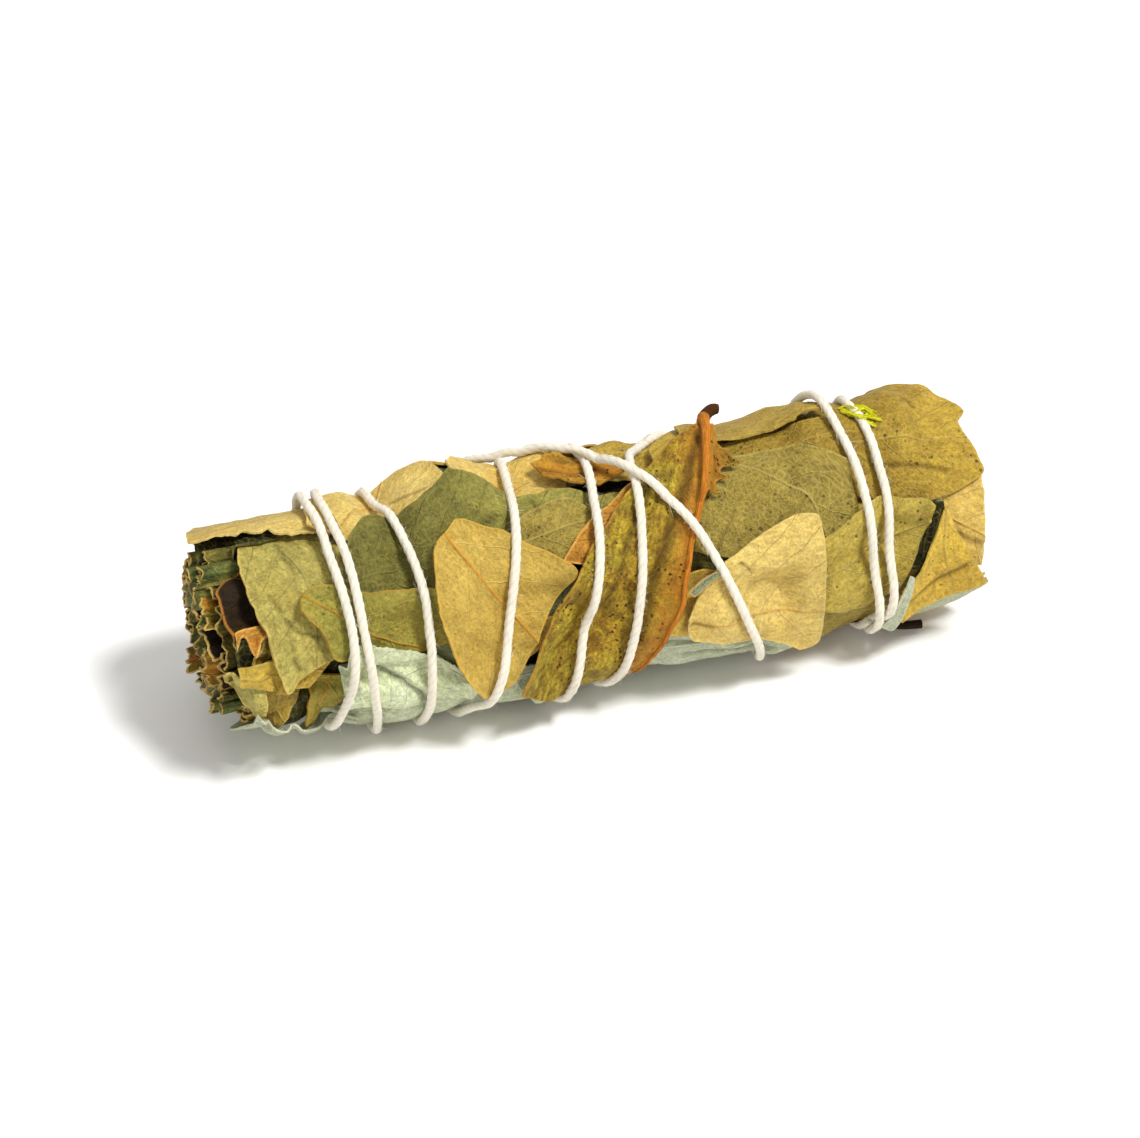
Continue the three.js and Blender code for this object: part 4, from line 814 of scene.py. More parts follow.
class Tree:
    """Adds nodes to a material or a node group."""

    def __init__(self, tree):
        self.tree = tree

    def add(self, kind, inputs=None, **settings):
        node = self.tree.nodes.new(kind)
        for key, value in settings.items():
            setattr(node, key, value)
        for key, value in (inputs or {}).items():
            socket = node.inputs[key]
            if isinstance(value, bpy.types.NodeSocket):
                self.tree.links.new(value, socket)
            else:
                socket.default_value = value
        return node

    def math(self, operation, *values, clamp=False):
        node = self.add("ShaderNodeMath", dict(enumerate(values)), operation=operation, use_clamp=clamp)
        return node.outputs[0]

    def fade(self, value, start, end, low=0.0, high=1.0):
        """Goes smoothly from low to high as value goes from start to end."""
        node = self.add(
            "ShaderNodeMapRange",
            {"Value": value, "From Min": start, "From Max": end, "To Min": low, "To Max": high},
            interpolation_type="SMOOTHSTEP",
        )
        return node.outputs["Result"]

    def mix(self, share, first, second, blend="MIX"):
        node = self.add("ShaderNodeMix", data_type="RGBA", blend_type=blend)
        for socket, value in zip((node.inputs[0], node.inputs[6], node.inputs[7]), (share, first, second)):
            if isinstance(value, bpy.types.NodeSocket):
                self.tree.links.new(value, socket)
            else:
                socket.default_value = value
        return node.outputs[2]

    def noise(self, vector, scale, detail=3.0, roughness=0.55, distortion=0.0):
        node = self.add(
            "ShaderNodeTexNoise",
            {"Vector": vector, "Scale": scale, "Detail": detail, "Roughness": roughness, "Distortion": distortion},
        )
        return node.outputs["Fac"]


def group(name, inputs, outputs, build):
    """A shared effect: a node group with named inputs and outputs, made once."""
    if name in bpy.data.node_groups:
        return bpy.data.node_groups[name]
    made = bpy.data.node_groups.new(name, "ShaderNodeTree")
    for label, kind, default in inputs:
        socket = made.interface.new_socket(label, in_out="INPUT", socket_type=kind)
        if default is not None:
            socket.default_value = default
    for label, kind in outputs:
        made.interface.new_socket(label, in_out="OUTPUT", socket_type=kind)
    tree = Tree(made)
    start, end = tree.add("NodeGroupInput"), tree.add("NodeGroupOutput")
    for label, socket in build(tree, start.outputs).items():
        made.links.new(socket, end.inputs[label])
    return made


FLOAT, VECTOR, COLOR = "NodeSocketFloat", "NodeSocketVector", "NodeSocketColor"


def blade_group():
    """Where a point is on its own leaf, in millimetres."""

    def build(tree, _):
        uv = tree.add("ShaderNodeUVMap", uv_map="Blade")
        parts = tree.add("ShaderNodeSeparateXYZ", {"Vector": uv.outputs["UV"]})
        along = tree.math("MULTIPLY_ADD", parts.outputs["X"], 100.0, -50.0)
        across = tree.math("MULTIPLY_ADD", parts.outputs["Y"], 100.0, -50.0)
        own = tree.add("ShaderNodeAttribute", attribute_name="leaf").outputs["Fac"]
        rim = tree.add("ShaderNodeAttribute", attribute_name="rim").outputs["Fac"]
        crease = tree.add("ShaderNodeAttribute", attribute_name="crease").outputs["Fac"]
        grain = tree.add(
            "ShaderNodeCombineXYZ",
            {"X": tree.math("MULTIPLY_ADD", own, 517.0, along), "Y": tree.math("MULTIPLY_ADD", own, 331.0, across),
             "Z": tree.math("MULTIPLY", own, 97.0)},
        )
        return {"Along": along, "Across": across, "Grain": grain.outputs[0], "Leaf": own, "Rim": rim, "Crease": crease}

    outputs = [("Along", FLOAT), ("Across", FLOAT), ("Grain", VECTOR), ("Leaf", FLOAT), ("Rim", FLOAT), ("Crease", FLOAT)]
    return group("Place on the blade", [], outputs, build)


def vein_group():
    """A leaf's midrib, the side veins that leave it aslant, and the fine net between them."""

    def build(tree, given):
        along, across, grain = given["Along"], given["Across"], given["Grain"]
        out = tree.math("ABSOLUTE", across)
        wander = tree.math("SUBTRACT", tree.noise(grain, 0.22, 2.0), 0.5)
        slant = tree.math("MULTIPLY", tree.math("POWER", out, 1.12), given["Slope"])
        run = tree.math("SUBTRACT", along, slant)
        run = tree.math("MULTIPLY_ADD", wander, 2.2, run)
        turn = tree.math("MULTIPLY_ADD", tree.math("SIGN", across), 0.27, tree.math("DIVIDE", run, given["Spacing"]))
        off = tree.math("ABSOLUTE", tree.math("SUBTRACT", tree.math("FRACT", turn), 0.5))
        off = tree.math("MULTIPLY", off, given["Spacing"])
        wide = tree.math("MULTIPLY", given["Width"], tree.fade(out, 0.0, 16.0, 1.0, 0.35))
        side = tree.math("SUBTRACT", 1.0, tree.math("DIVIDE", off, wide), clamp=True)
        side = tree.math("MULTIPLY", side, tree.fade(tree.noise(grain, 0.35, 1.0), 0.22, 0.42))
        stem = tree.math("MULTIPLY", given["Width"], tree.fade(along, 0.0, 40.0, 1.5, 0.8))
        midrib = tree.math("SUBTRACT", 1.0, tree.math("DIVIDE", out, stem), clamp=True)
        wobble = tree.add("ShaderNodeTexNoise", {"Vector": grain, "Scale": 0.7, "Detail": 2.0})
        bent = tree.add("ShaderNodeVectorMath", {0: grain, 1: wobble.outputs["Color"]}, operation="ADD")
        cells = tree.add(
            "ShaderNodeTexVoronoi", {"Vector": bent.outputs[0], "Scale": given["Net scale"]}, feature="DISTANCE_TO_EDGE"
        )
        net = tree.fade(cells.outputs["Distance"], 0.0, 0.14, 1.0, 0.0)
        return {"Midrib": midrib, "Side veins": side, "Net": net}

    inputs = [("Along", FLOAT, 0.0), ("Across", FLOAT, 0.0), ("Grain", VECTOR, None), ("Spacing", FLOAT, 5.0),
              ("Slope", FLOAT, 0.8), ("Width", FLOAT, 0.3), ("Net scale", FLOAT, 0.9)]
    return group("Leaf veins", inputs, [("Midrib", FLOAT), ("Side veins", FLOAT), ("Net", FLOAT)], build)


def mottle_group():
    """Uneven drying: broad patches, smaller blotches, fine grain and scattered dark specks."""

    def build(tree, given):
        grain = given["Grain"]
        stretched = tree.add("ShaderNodeVectorMath", {0: grain, 1: (0.35, 1.0, 1.0)}, operation="MULTIPLY").outputs[0]
        patches = tree.fade(tree.noise(grain, 0.09, 2.0), 0.36, 0.64)
        blotches = tree.fade(tree.noise(grain, 0.5, 4.0, 0.6, 0.4), 0.36, 0.66)
        fine = tree.noise(grain, 2.4, 5.0, 0.7)
        streaks = tree.noise(stretched, 1.5, 3.0, 0.6)
        dots = tree.add("ShaderNodeTexVoronoi", {"Vector": grain, "Scale": given["Speck scale"], "Randomness": 1.0})
        size = tree.math("MULTIPLY", tree.noise(grain, 0.3, 2.0), given["Speck size"])
        specks = tree.fade(tree.math("SUBTRACT", dots.outputs["Distance"], size), -0.02, 0.05, 1.0, 0.0)
        specks = tree.math("MULTIPLY", specks, tree.fade(tree.noise(grain, 0.23, 2.0), 0.42, 0.6))
        return {"Patches": patches, "Blotches": blotches, "Fine": fine, "Streaks": streaks, "Specks": specks}

    inputs = [("Grain", VECTOR, None), ("Speck scale", FLOAT, 0.8), ("Speck size", FLOAT, 0.25)]
    outputs = [(label, FLOAT) for label in ("Patches", "Blotches", "Fine", "Streaks", "Specks")]
    return group("Uneven drying", inputs, outputs, build)


def tint(rgb, amount):
    """A colour made lighter (above 1) or darker, as a material's socket takes it."""
    return (*[min(1.0, c * amount) for c in rgb[:3]], 1.0)


def leaf_finish(
    name, body, warm, dark, vein, vein_share=0.5, net_share=0.25, spacing=5.0, slope=0.8, width=0.2, net=0.9,
    speck_share=0.6, speck_size=0.25, speck_scale=0.8, roughness=0.6, down=0.0, rim_share=0.5, relief=1.0,
    rim=None, streak=0.3, midrib=None, patch=0.5, rim_width=0.4, grain=0.3, blotch=0.35, glow=0.0,
):
    """A dried leaf: its body colour, warmer and darker drying, veins, rim, specks and creases, with painted shade in
    the creases.
    """
    material = bpy.data.materials.new(name)
    material.use_nodes = True
    tree = Tree(material.node_tree)
    shader = material.node_tree.nodes["Principled BSDF"]
    blade = tree.add("ShaderNodeGroup", node_tree=blade_group()).outputs
    veins = group_node(tree, vein_group(), {
        "Along": blade["Along"], "Across": blade["Across"], "Grain": blade["Grain"], "Spacing": spacing,
        "Slope": slope, "Width": width, "Net scale": net})
    mottle = group_node(tree, mottle_group(), {"Grain": blade["Grain"], "Speck scale": speck_scale, "Speck size": speck_size})

    own = tree.fade(blade["Leaf"], 0.0, 1.0, 0.0, 0.4)
    share = tree.math("MULTIPLY", mottle["Patches"], patch)
    paint = tree.mix(tree.math("ADD", share, own, clamp=True), tint(body, 1), tint(warm, 1))
    paint = tree.mix(tree.math("MULTIPLY", mottle["Blotches"], blotch), paint, tint(dark, 1.5))
    grainy = tree.fade(mottle["Fine"], 0.3, 0.7, 1 - grain, 1 + grain)
    streaky = tree.fade(mottle["Streaks"], 0.3, 0.7, 1 - streak / 2, 1 + streak / 2)
    level = tree.math("MULTIPLY", grainy, streaky)
    # tone scales the brightness of a whole piece; for the shadow leaves and the cut-end sheets it is painted shade.
    level = tree.math("MULTIPLY", level, tree.add("ShaderNodeAttribute", attribute_name="tone").outputs["Fac"])
    grey = tree.add("ShaderNodeCombineXYZ", {"X": level, "Y": level, "Z": level}).outputs[0]
    paint = tree.mix(1.0, paint, grey, "MULTIPLY")
    paint = tree.mix(tree.math("MULTIPLY", veins["Net"], net_share), paint, tint(vein, 1))
    paint = tree.mix(tree.math("MULTIPLY", veins["Side veins"], vein_share), paint, tint(vein, 1))
    paint = tree.mix(tree.math("MULTIPLY", veins["Midrib"], min(1, vein_share * 1.3)), paint, tint(midrib or vein, 1))
    if glow:
        beside = tree.fade(tree.math("ABSOLUTE", blade["Across"]), 0.3, 4.0, glow, 0.0)
        paint = tree.mix(tree.math("MULTIPLY", beside, tree.fade(mottle["Streaks"], 0.3, 0.7, 0.5, 1.0)), paint, tint(midrib, 0.8))
    cut = tree.add("ShaderNodeAttribute", attribute_name="cut").outputs["Fac"]
    edge = tree.fade(blade["Rim"], rim_width * 0.35, rim_width, 1.0, 0.0)
    edge_colour = tree.mix(cut, tint(rim or vein, 1), tint(shade("d8b666"), 1))
    paint = tree.mix(tree.math("MULTIPLY", edge, tree.math("MAXIMUM", cut, rim_share)), paint, edge_colour)
    paint = tree.mix(tree.math("MULTIPLY", mottle["Specks"], speck_share), paint, tint(dark, 0.5))
    # Painted shade: the creases are painted darker, as shade falls in them.
    paint = tree.mix(tree.math("MULTIPLY", blade["Crease"], 0.65), paint, tint(dark, 0.55))
    material.node_tree.links.new(paint, shader.inputs["Base Color"])
    rough = tree.fade(mottle["Fine"], 0.3, 0.7, roughness - 0.1, roughness + 0.12)
    material.node_tree.links.new(rough, shader.inputs["Roughness"])
    shader.inputs["Specular IOR Level"].default_value = 0.2
    if down:
        shader.inputs["Sheen Weight"].default_value = down
        shader.inputs["Sheen Roughness"].default_value = 0.5
    height = tree.math("MULTIPLY", mottle["Fine"], 0.26 * relief)
    height = tree.math("MULTIPLY_ADD", mottle["Blotches"], -0.08 * relief, height)
    height = tree.math("MULTIPLY_ADD", veins["Net"], 0.05 * relief, height)
    height = tree.math("MULTIPLY_ADD", veins["Side veins"], 0.16 * relief, height)
    height = tree.math("MULTIPLY_ADD", veins["Midrib"], 0.25 * relief, height)
    height = tree.math("MULTIPLY_ADD", blade["Crease"], -0.2, height)
    if down:
        hairs = tree.noise(blade["Grain"], 6.0, 3.0, 0.8)
        height = tree.math("MULTIPLY_ADD", hairs, 0.12 * down, height)
    bump = tree.add("ShaderNodeBump", {"Height": height, "Strength": 0.9, "Distance": MM})
    material.node_tree.links.new(bump.outputs["Normal"], shader.inputs["Normal"])
    return material


def group_node(tree, made, inputs):
    node = tree.add("ShaderNodeGroup", node_tree=made)
    for key, value in inputs.items():
        if isinstance(value, bpy.types.NodeSocket):
            tree.tree.links.new(value, node.inputs[key])
        else:
            node.inputs[key].default_value = value
    return node.outputs


def twine_finish(name, body, dark):
    """Soft cotton: twisted strands with fine fibres, with painted shade in the grooves."""
    material = bpy.data.materials.new(name)
    material.use_nodes = True
    tree = Tree(material.node_tree)
    shader = material.node_tree.nodes["Principled BSDF"]
    blade = tree.add("ShaderNodeGroup", node_tree=blade_group()).outputs
    groove = tree.add("ShaderNodeAttribute", attribute_name="groove").outputs["Fac"]
    slant = tree.math("MULTIPLY_ADD", blade["Along"], 0.9, tree.math("MULTIPLY", blade["Across"], 1.0))
    fibre_place = tree.add(
        "ShaderNodeCombineXYZ", {"X": tree.math("MULTIPLY", slant, 2.2), "Y": tree.math("MULTIPLY", blade["Along"], 0.35)}
    ).outputs[0]
    fibres = tree.noise(fibre_place, 2.6, 4.0, 0.7)
    patches = tree.noise(blade["Grain"], 0.35, 2.0)
    # Painted shade: the grooves between the strands are painted darker.
    groove_shade = tree.fade(groove, 0.9, 1.0, 1.0, 0.0)
    paint = tree.mix(tree.fade(fibres, 0.3, 0.7, 0.0, 0.3), tint(body, 1), tint(dark, 1.6))
    paint = tree.mix(tree.math("MULTIPLY", groove_shade, 0.45), paint, tint(dark, 1.1))
    paint = tree.mix(tree.fade(patches, 0.55, 0.75, 0.0, 0.2), paint, tint(dark, 1.3))
    material.node_tree.links.new(paint, shader.inputs["Base Color"])
    material.node_tree.links.new(tree.fade(fibres, 0.2, 0.8, 0.75, 0.95), shader.inputs["Roughness"])
    shader.inputs["Specular IOR Level"].default_value = 0.2
    shader.inputs["Sheen Weight"].default_value = 0.3
    bump = tree.add("ShaderNodeBump", {"Height": tree.math("MULTIPLY", fibres, 0.25), "Strength": 0.8, "Distance": MM})
    material.node_tree.links.new(bump.outputs["Normal"], shader.inputs["Normal"])
    return material


def bark_finish(name, body, dark, burnt=False):
    """A woody stem or stalk with fine lengthwise ridges."""
    material = bpy.data.materials.new(name)
    material.use_nodes = True
    tree = Tree(material.node_tree)
    shader = material.node_tree.nodes["Principled BSDF"]
    blade = tree.add("ShaderNodeGroup", node_tree=blade_group()).outputs
    place = tree.add(
        "ShaderNodeCombineXYZ", {"X": tree.math("MULTIPLY", blade["Along"], 0.25), "Y": tree.math("MULTIPLY", blade["Across"], 2.5)}
    ).outputs[0]
    ridges = tree.noise(place, 1.6, 5.0, 0.65)
    patches = tree.noise(blade["Grain"], 0.5, 3.0)
    paint = tree.mix(tree.fade(ridges, 0.35, 0.65), tint(body, 1.15), tint(dark, 1))
    paint = tree.mix(tree.fade(patches, 0.5, 0.7, 0.0, 0.5), paint, tint(dark, 0.7))
    if burnt:
        paint = tree.mix(tree.fade(blade["Along"], 2.2, 7.0, 0.95, 0.0), paint, tint(dark, 0.1))
    material.node_tree.links.new(paint, shader.inputs["Base Color"])
    material.node_tree.links.new(tree.fade(ridges, 0.2, 0.8, 0.55, 0.8), shader.inputs["Roughness"])
    shader.inputs["Specular IOR Level"].default_value = 0.15
    bump = tree.add("ShaderNodeBump", {"Height": tree.math("MULTIPLY", ridges, 0.3), "Strength": 0.9, "Distance": MM})
    material.node_tree.links.new(bump.outputs["Normal"], shader.inputs["Normal"])
    return material


def finish_named(name):
    """The finish of a material slot, made when it is first used."""
    if name in bpy.data.materials and bpy.data.materials[name].get("herb_finish"):
        return bpy.data.materials[name]
    c = bpy.context.scene.herb_colours
    makers = {
        "gold_leaf": lambda n: leaf_finish(
            n, c.gold, shade("c49c3c"), shade("8a661e"), shade("ecc96c"), vein_share=0.75, net_share=0.12, rim_share=0.6,
            rim=shade("e0b04a"), midrib=shade("dc9a38"), speck_share=0.3, spacing=6.5, width=0.2, grain=0.24,
            blotch=0.25, rim_width=0.35),
        "pale_gold_leaf": lambda n: leaf_finish(
            n, c.pale_gold, shade("d2ae52"), shade("8a6826"), shade("ecd488"), vein_share=0.35, net_share=0.15,
            speck_share=0.3, midrib=shade("dc9c3a"), rim_share=0.35, blotch=0.18, grain=0.22),
        "tan_leaf": lambda n: leaf_finish(
            n, c.tan, shade("a58526"), shade("5e4416"), shade("ccb05c"), vein_share=0.4, net_share=0.25, speck_share=0.75,
            speck_size=0.3, rim_share=0.3),
        "olive_leaf": lambda n: leaf_finish(
            n, c.olive, shade("a8923a"), shade("4d4718"), shade("bcae5a"), vein_share=0.5, net_share=0.22,
            midrib=shade("c8902e"), rim=shade("b98a34"), rim_share=0.4),
        "grey_olive_leaf": lambda n: leaf_finish(
            n, c.grey_olive, shade("96802c"), shade("4a3d14"), shade("c2ae62"), vein_share=0.5, net_share=0.35,
            speck_share=0.75, speck_size=0.32, net=1.2, rim_share=0.3),
        "dark_green_leaf": lambda n: leaf_finish(
            n, c.dark_green, shade("9a9044"), shade("3d3d18"), shade("a09a50"), vein_share=0.3, net_share=0.22,
            relief=1.3, rim_share=0.2, roughness=0.55),
        "grey_green_leaf": lambda n: leaf_finish(
            n, c.grey_green, shade("c0ab50"), shade("6c5a20"), shade("cdbc70"), vein_share=0.25, net_share=0.18,
            rim=shade("dcbc6a"), speck_share=0.4),
        "brown_leaf": lambda n: leaf_finish(
            n, c.brown, shade("b08a24"), shade("4e320c"), shade("a8741e"), vein_share=0.3, net_share=0.25, speck_share=0.9,
            speck_size=0.42, speck_scale=1.3, midrib=c.orange, rim=shade("c08c38"), width=0.3, patch=0.5, streak=0.65,
            glow=0.7, grain=0.38, blotch=0.7),
        "amber_leaf": lambda n: leaf_finish(
            n, shade("c48c34"), shade("b87a24"), shade("5a3410"), shade("e0b458"), vein_share=0.3, net_share=0.2,
            rim=shade("e6b45c"), rim_share=0.7),
        # Its near-black body is partly painted shade, for the deep cup and gaps at the cut end.
        "dark_brown_leaf": lambda n: leaf_finish(
            n, c.dark_brown_and_shade, shade("3a270c"), shade("140c04"), shade("6a4818"), vein_share=0.2, net_share=0.1,
            rim=shade("b0742a"), rim_share=0.9, rim_width=0.45, roughness=0.6, streak=0.6),
        "pale_sage_leaf": lambda n: leaf_finish(
            n, c.pale_sage, shade("b4b88c"), shade("6c7648"), shade("d6dabc"), vein_share=0.45, net_share=0.35, net=1.6,
            spacing=3.2, width=0.22, down=0.35, roughness=0.8, speck_share=0.1, relief=1.2),
        "sage_leaf": lambda n: leaf_finish(
            n, c.sage, shade("96975a"), shade("2f3818"), shade("a6ae7c"), vein_share=0.3, net_share=0.35, net=1.7,
            spacing=3.0, width=0.2, down=0.35, roughness=0.85, speck_share=0.15, rim=shade("c4a358"), rim_share=0.8,
            rim_width=0.32, relief=1.3),
        "cut_sage_leaf": lambda n: leaf_finish(
            n, shade("5f6b34"), shade("8d7c36"), shade("1a210c"), shade("8a9454"), vein_share=0.3, net_share=0.25, net=1.7,
            spacing=3.0, width=0.2, roughness=0.8, speck_share=0.3, rim=shade("cfa850"), rim_share=0.8, rim_width=0.22,
            relief=1.4, streak=0.7, blotch=0.6),
        "twine": lambda n: twine_finish(n, c.twine, shade("d2c4a4")),
        "bark": lambda n: bark_finish(n, c.bark, shade("33200f")),
        "dark_bark": lambda n: bark_finish(n, shade("2c1b0e"), shade("0d0704")),
        "leaf_stalk": lambda n: bark_finish(n, c.orange, shade("a8661c"), burnt=True),
        "yellow_scrap": lambda n: leaf_finish(
            n, shade("fbf92e"), shade("f2ee1e"), shade("d8d420"), shade("fbfb60"), vein_share=0.2, net_share=0.1,
            speck_share=0.0, rim_share=0.0, grain=0.05, blotch=0.1, streak=0.1),
    }
    material = makers[name](name)
    material.name = name
    material["herb_finish"] = True
    return material


# Operators


def millimetres(context, name):
    return getattr(context.scene.herb_sizes, name) / MM


def lay_listed(context, leaves, facet, seed):
    for number, (node, finish, edges, settings) in enumerate(leaves):
        settings = dict(settings)
        name = settings.pop("name", None) or f"{node}_blade"
        piece = leaf(
            name, edges, seed + 37 * number, settings.pop("facet", facet), millimetres(context, "blade"),
            millimetres(context, "gap"), **settings
        )
        place_piece(piece, finish, *([node] if node else []), slot="brown_leaf" if finish == "amber_leaf" else finish)


def rolled(name, centre, radius, turns, start, ends, seed, fine=0.55, wrinkle=0.12, squash=0.85, thickness=0.28, tone=1.0):
    """A sage leaf rolled lengthwise by drying, cut at one end or both."""
    draw = np.random.default_rng(seed)
    low, high = ends
    x = [low]
    while x[-1] < high:
        x.append(x[-1] + (fine if min(x[-1] - low, high - x[-1]) < 8 else 2.5))
    x = np.array(x)[:, None]
    columns = max(10, round(2 * math.pi * turns * radius * 0.7 / fine))
    share = np.linspace(0, 1, columns + 1)[None, :]
    angle = 2 * math.pi * (start + share * turns) + 0.25 * waves(seed + 1, 30, x)
    r = (0.28 + 0.72 * share) * radius * (1 + wrinkle * waves(seed + 2, 1.8, share * radius * turns * 6.3, x * 0.25))
    r = r * (1 + 0.05 * waves(seed + 3, 7.0, x, share * 9))
    tilt = draw.uniform(0, 2 * math.pi)
    flat_y, flat_z = 1.0, squash
    y, z = r * np.cos(angle) * flat_y, r * np.sin(angle) * flat_z
    y, z = y * math.cos(tilt) - z * math.sin(tilt), y * math.sin(tilt) + z * math.cos(tilt)
    cut = 0.55 * waves(seed + 4, 2.0, share * radius * turns * 6.3) * np.exp(-(x - low) / 1.5)
    cut = cut + 0.5 * waves(seed + 5, 2.0, share * radius * turns * 6.3) * np.exp(-(high - x) / 1.5)
    points = np.stack([x + cut, centre[0] + y, centre[1] + z], -1) + MIDDLE
    arc = share * radius * turns * 5.0 + 0 * x
    marks = {
        "along": x - low + 0 * share, "across": arc - arc.mean(), "crease": 0 * arc,
        "rim": np.minimum(x - low, high - x) + 0 * share, "leaf": np.full(arc.shape, (seed * 0.618) % 1),
        "tone": np.full(arc.shape, tone), "cut": np.full(arc.shape, 0.85),
    }
    return sheet(name, points, marks, thickness, inwards=np.broadcast_to(
        np.array([0, centre[0], centre[1]]) + MIDDLE, points.shape), smooth=80)


class HERB_OT_sprigs(bpy.types.Operator):
    """Rolls sage leaves round seven woody stems, side by side through the bundle"""

    bl_idname = "herb.sprigs"
    bl_label = "Sage sprigs"

    def execute(self, context):
        for number in range(7):
            ring = 0 if number == 0 else 6.25
            a = math.radians(number * 60)
            centre = (-ring * math.cos(a), ring * math.sin(a))
            cut, tip = -56.3 + 1.3 * math.sin(number * 2.4), 49 + 1.5 * math.cos(number * 1.9)
            middle = -8 + 6 * math.cos(number * 2.1)
            line = np.array([(x, centre[0], centre[1]) for x in np.linspace(cut, tip, 40)]) + MIDDLE
            line[:, 1:] += 0.2 * np.stack([np.sin(line[:, 0] / 9 + number), np.cos(line[:, 0] / 7)], 1)
            out = np.tile([0.0, 0.0, 1.0], (40, 1))
            stem = tube("stem", line, np.linspace(1.0, 0.75, 40), 10, seed=number + 1, out=out)
            stem.data.materials.append(finish_named("bark"))
            rolls = []
            for k, (low, high, start) in enumerate(
                [(cut + 0.5, middle - 0.6, 0.13 * number), (middle + 0.6, tip, 0.31 * number + 0.4)]
            ):
                seed = 100 + 10 * number + k
                rolls.append(rolled("roll", centre, 3.0, 1.45, start, (low, high), seed, fine=0.62))
                rolls.append(rolled("roll", centre, 1.9, 1.2, start + 0.4, (low - 0.7, high - 0.7), seed + 5, fine=0.62))
            for roll in rolls:
                roll.data.materials.append(finish_named("sage_leaf"))
            piece = join(f"sage_sprig_{number + 1}_rolls", [rolls[0], *rolls[1:], stem])
            place_piece(piece, None, f"sage_sprig_{number + 1}", slot="sage_leaf")
        return {"FINISHED"}


class HERB_OT_shreds(bpy.types.Operator):
    """Fills the cut end and the tips with small curled leaves"""

    bl_idname = "herb.shreds"
    bl_label = "Curled ends"

    def execute(self, context):
        draw = np.random.default_rng(77)
        curls = []
        for k in range(34):
            a = 2 * math.pi * (k + draw.uniform(-0.3, 0.3)) / 34
            ring = draw.uniform(9.2, 11.4) if k % 3 else draw.uniform(3.0, 5.0)
            if math.sin(a) < -0.4:
                ring = min(ring, 8.2 / -math.sin(a))
            centre = (-ring * math.cos(a), ring * math.sin(a))
            low = draw.uniform(-58.0, -54.6)
            curls.append(
                rolled("curl", centre, draw.uniform(0.9, 1.9), draw.uniform(0.6, 1.5), draw.uniform(0, 1),
                       (low, low + draw.uniform(9, 13)), 300 + k, fine=0.4, wrinkle=0.4, squash=draw.uniform(0.5, 0.9),
                       thickness=0.22)
            )
        place_piece(join("cut_end_curls", curls), "cut_sage_leaf", slot="sage_leaf")
        tips = []
        for k in range(22):
            a = 2 * math.pi * (k + draw.uniform(-0.3, 0.3)) / 22
            ring = draw.uniform(9.0, 11.2) if k % 3 else draw.uniform(2.5, 5.0)
            if math.sin(a) < -0.4:
                ring = min(ring, 8.2 / -math.sin(a))
            high = draw.uniform(48.5, 52.6)
            tips.append(
                rolled("curl", (-ring * math.cos(a), ring * math.sin(a)), draw.uniform(1.2, 2.2), draw.uniform(0.5, 1.1),
                       draw.uniform(0, 1), (high - draw.uniform(9, 13), high), 400 + k, fine=0.55, wrinkle=0.22,
                       squash=draw.uniform(0.5, 0.9), thickness=0.22)
            )
        place_piece(join("tip_end_curls", tips), "sage_leaf")
        return {"FINISHED"}


class HERB_OT_inner_leaves(bpy.types.Operator):
    """Lays the inner layer of sage leaves round the sprigs"""

    bl_idname = "herb.inner_leaves"
    bl_label = "Inner leaves"

    def execute(self, context):
        squeeze(twine_plan(), millimetres(context, "twine_bite"))
        leaves = [(node, "sage_leaf", edges, {"teeth": 0.1}) for node, edges in INNER_LEAVES]
        lay_listed(context, leaves, millimetres(context, "hidden_facet"), 1000)
        return {"FINISHED"}


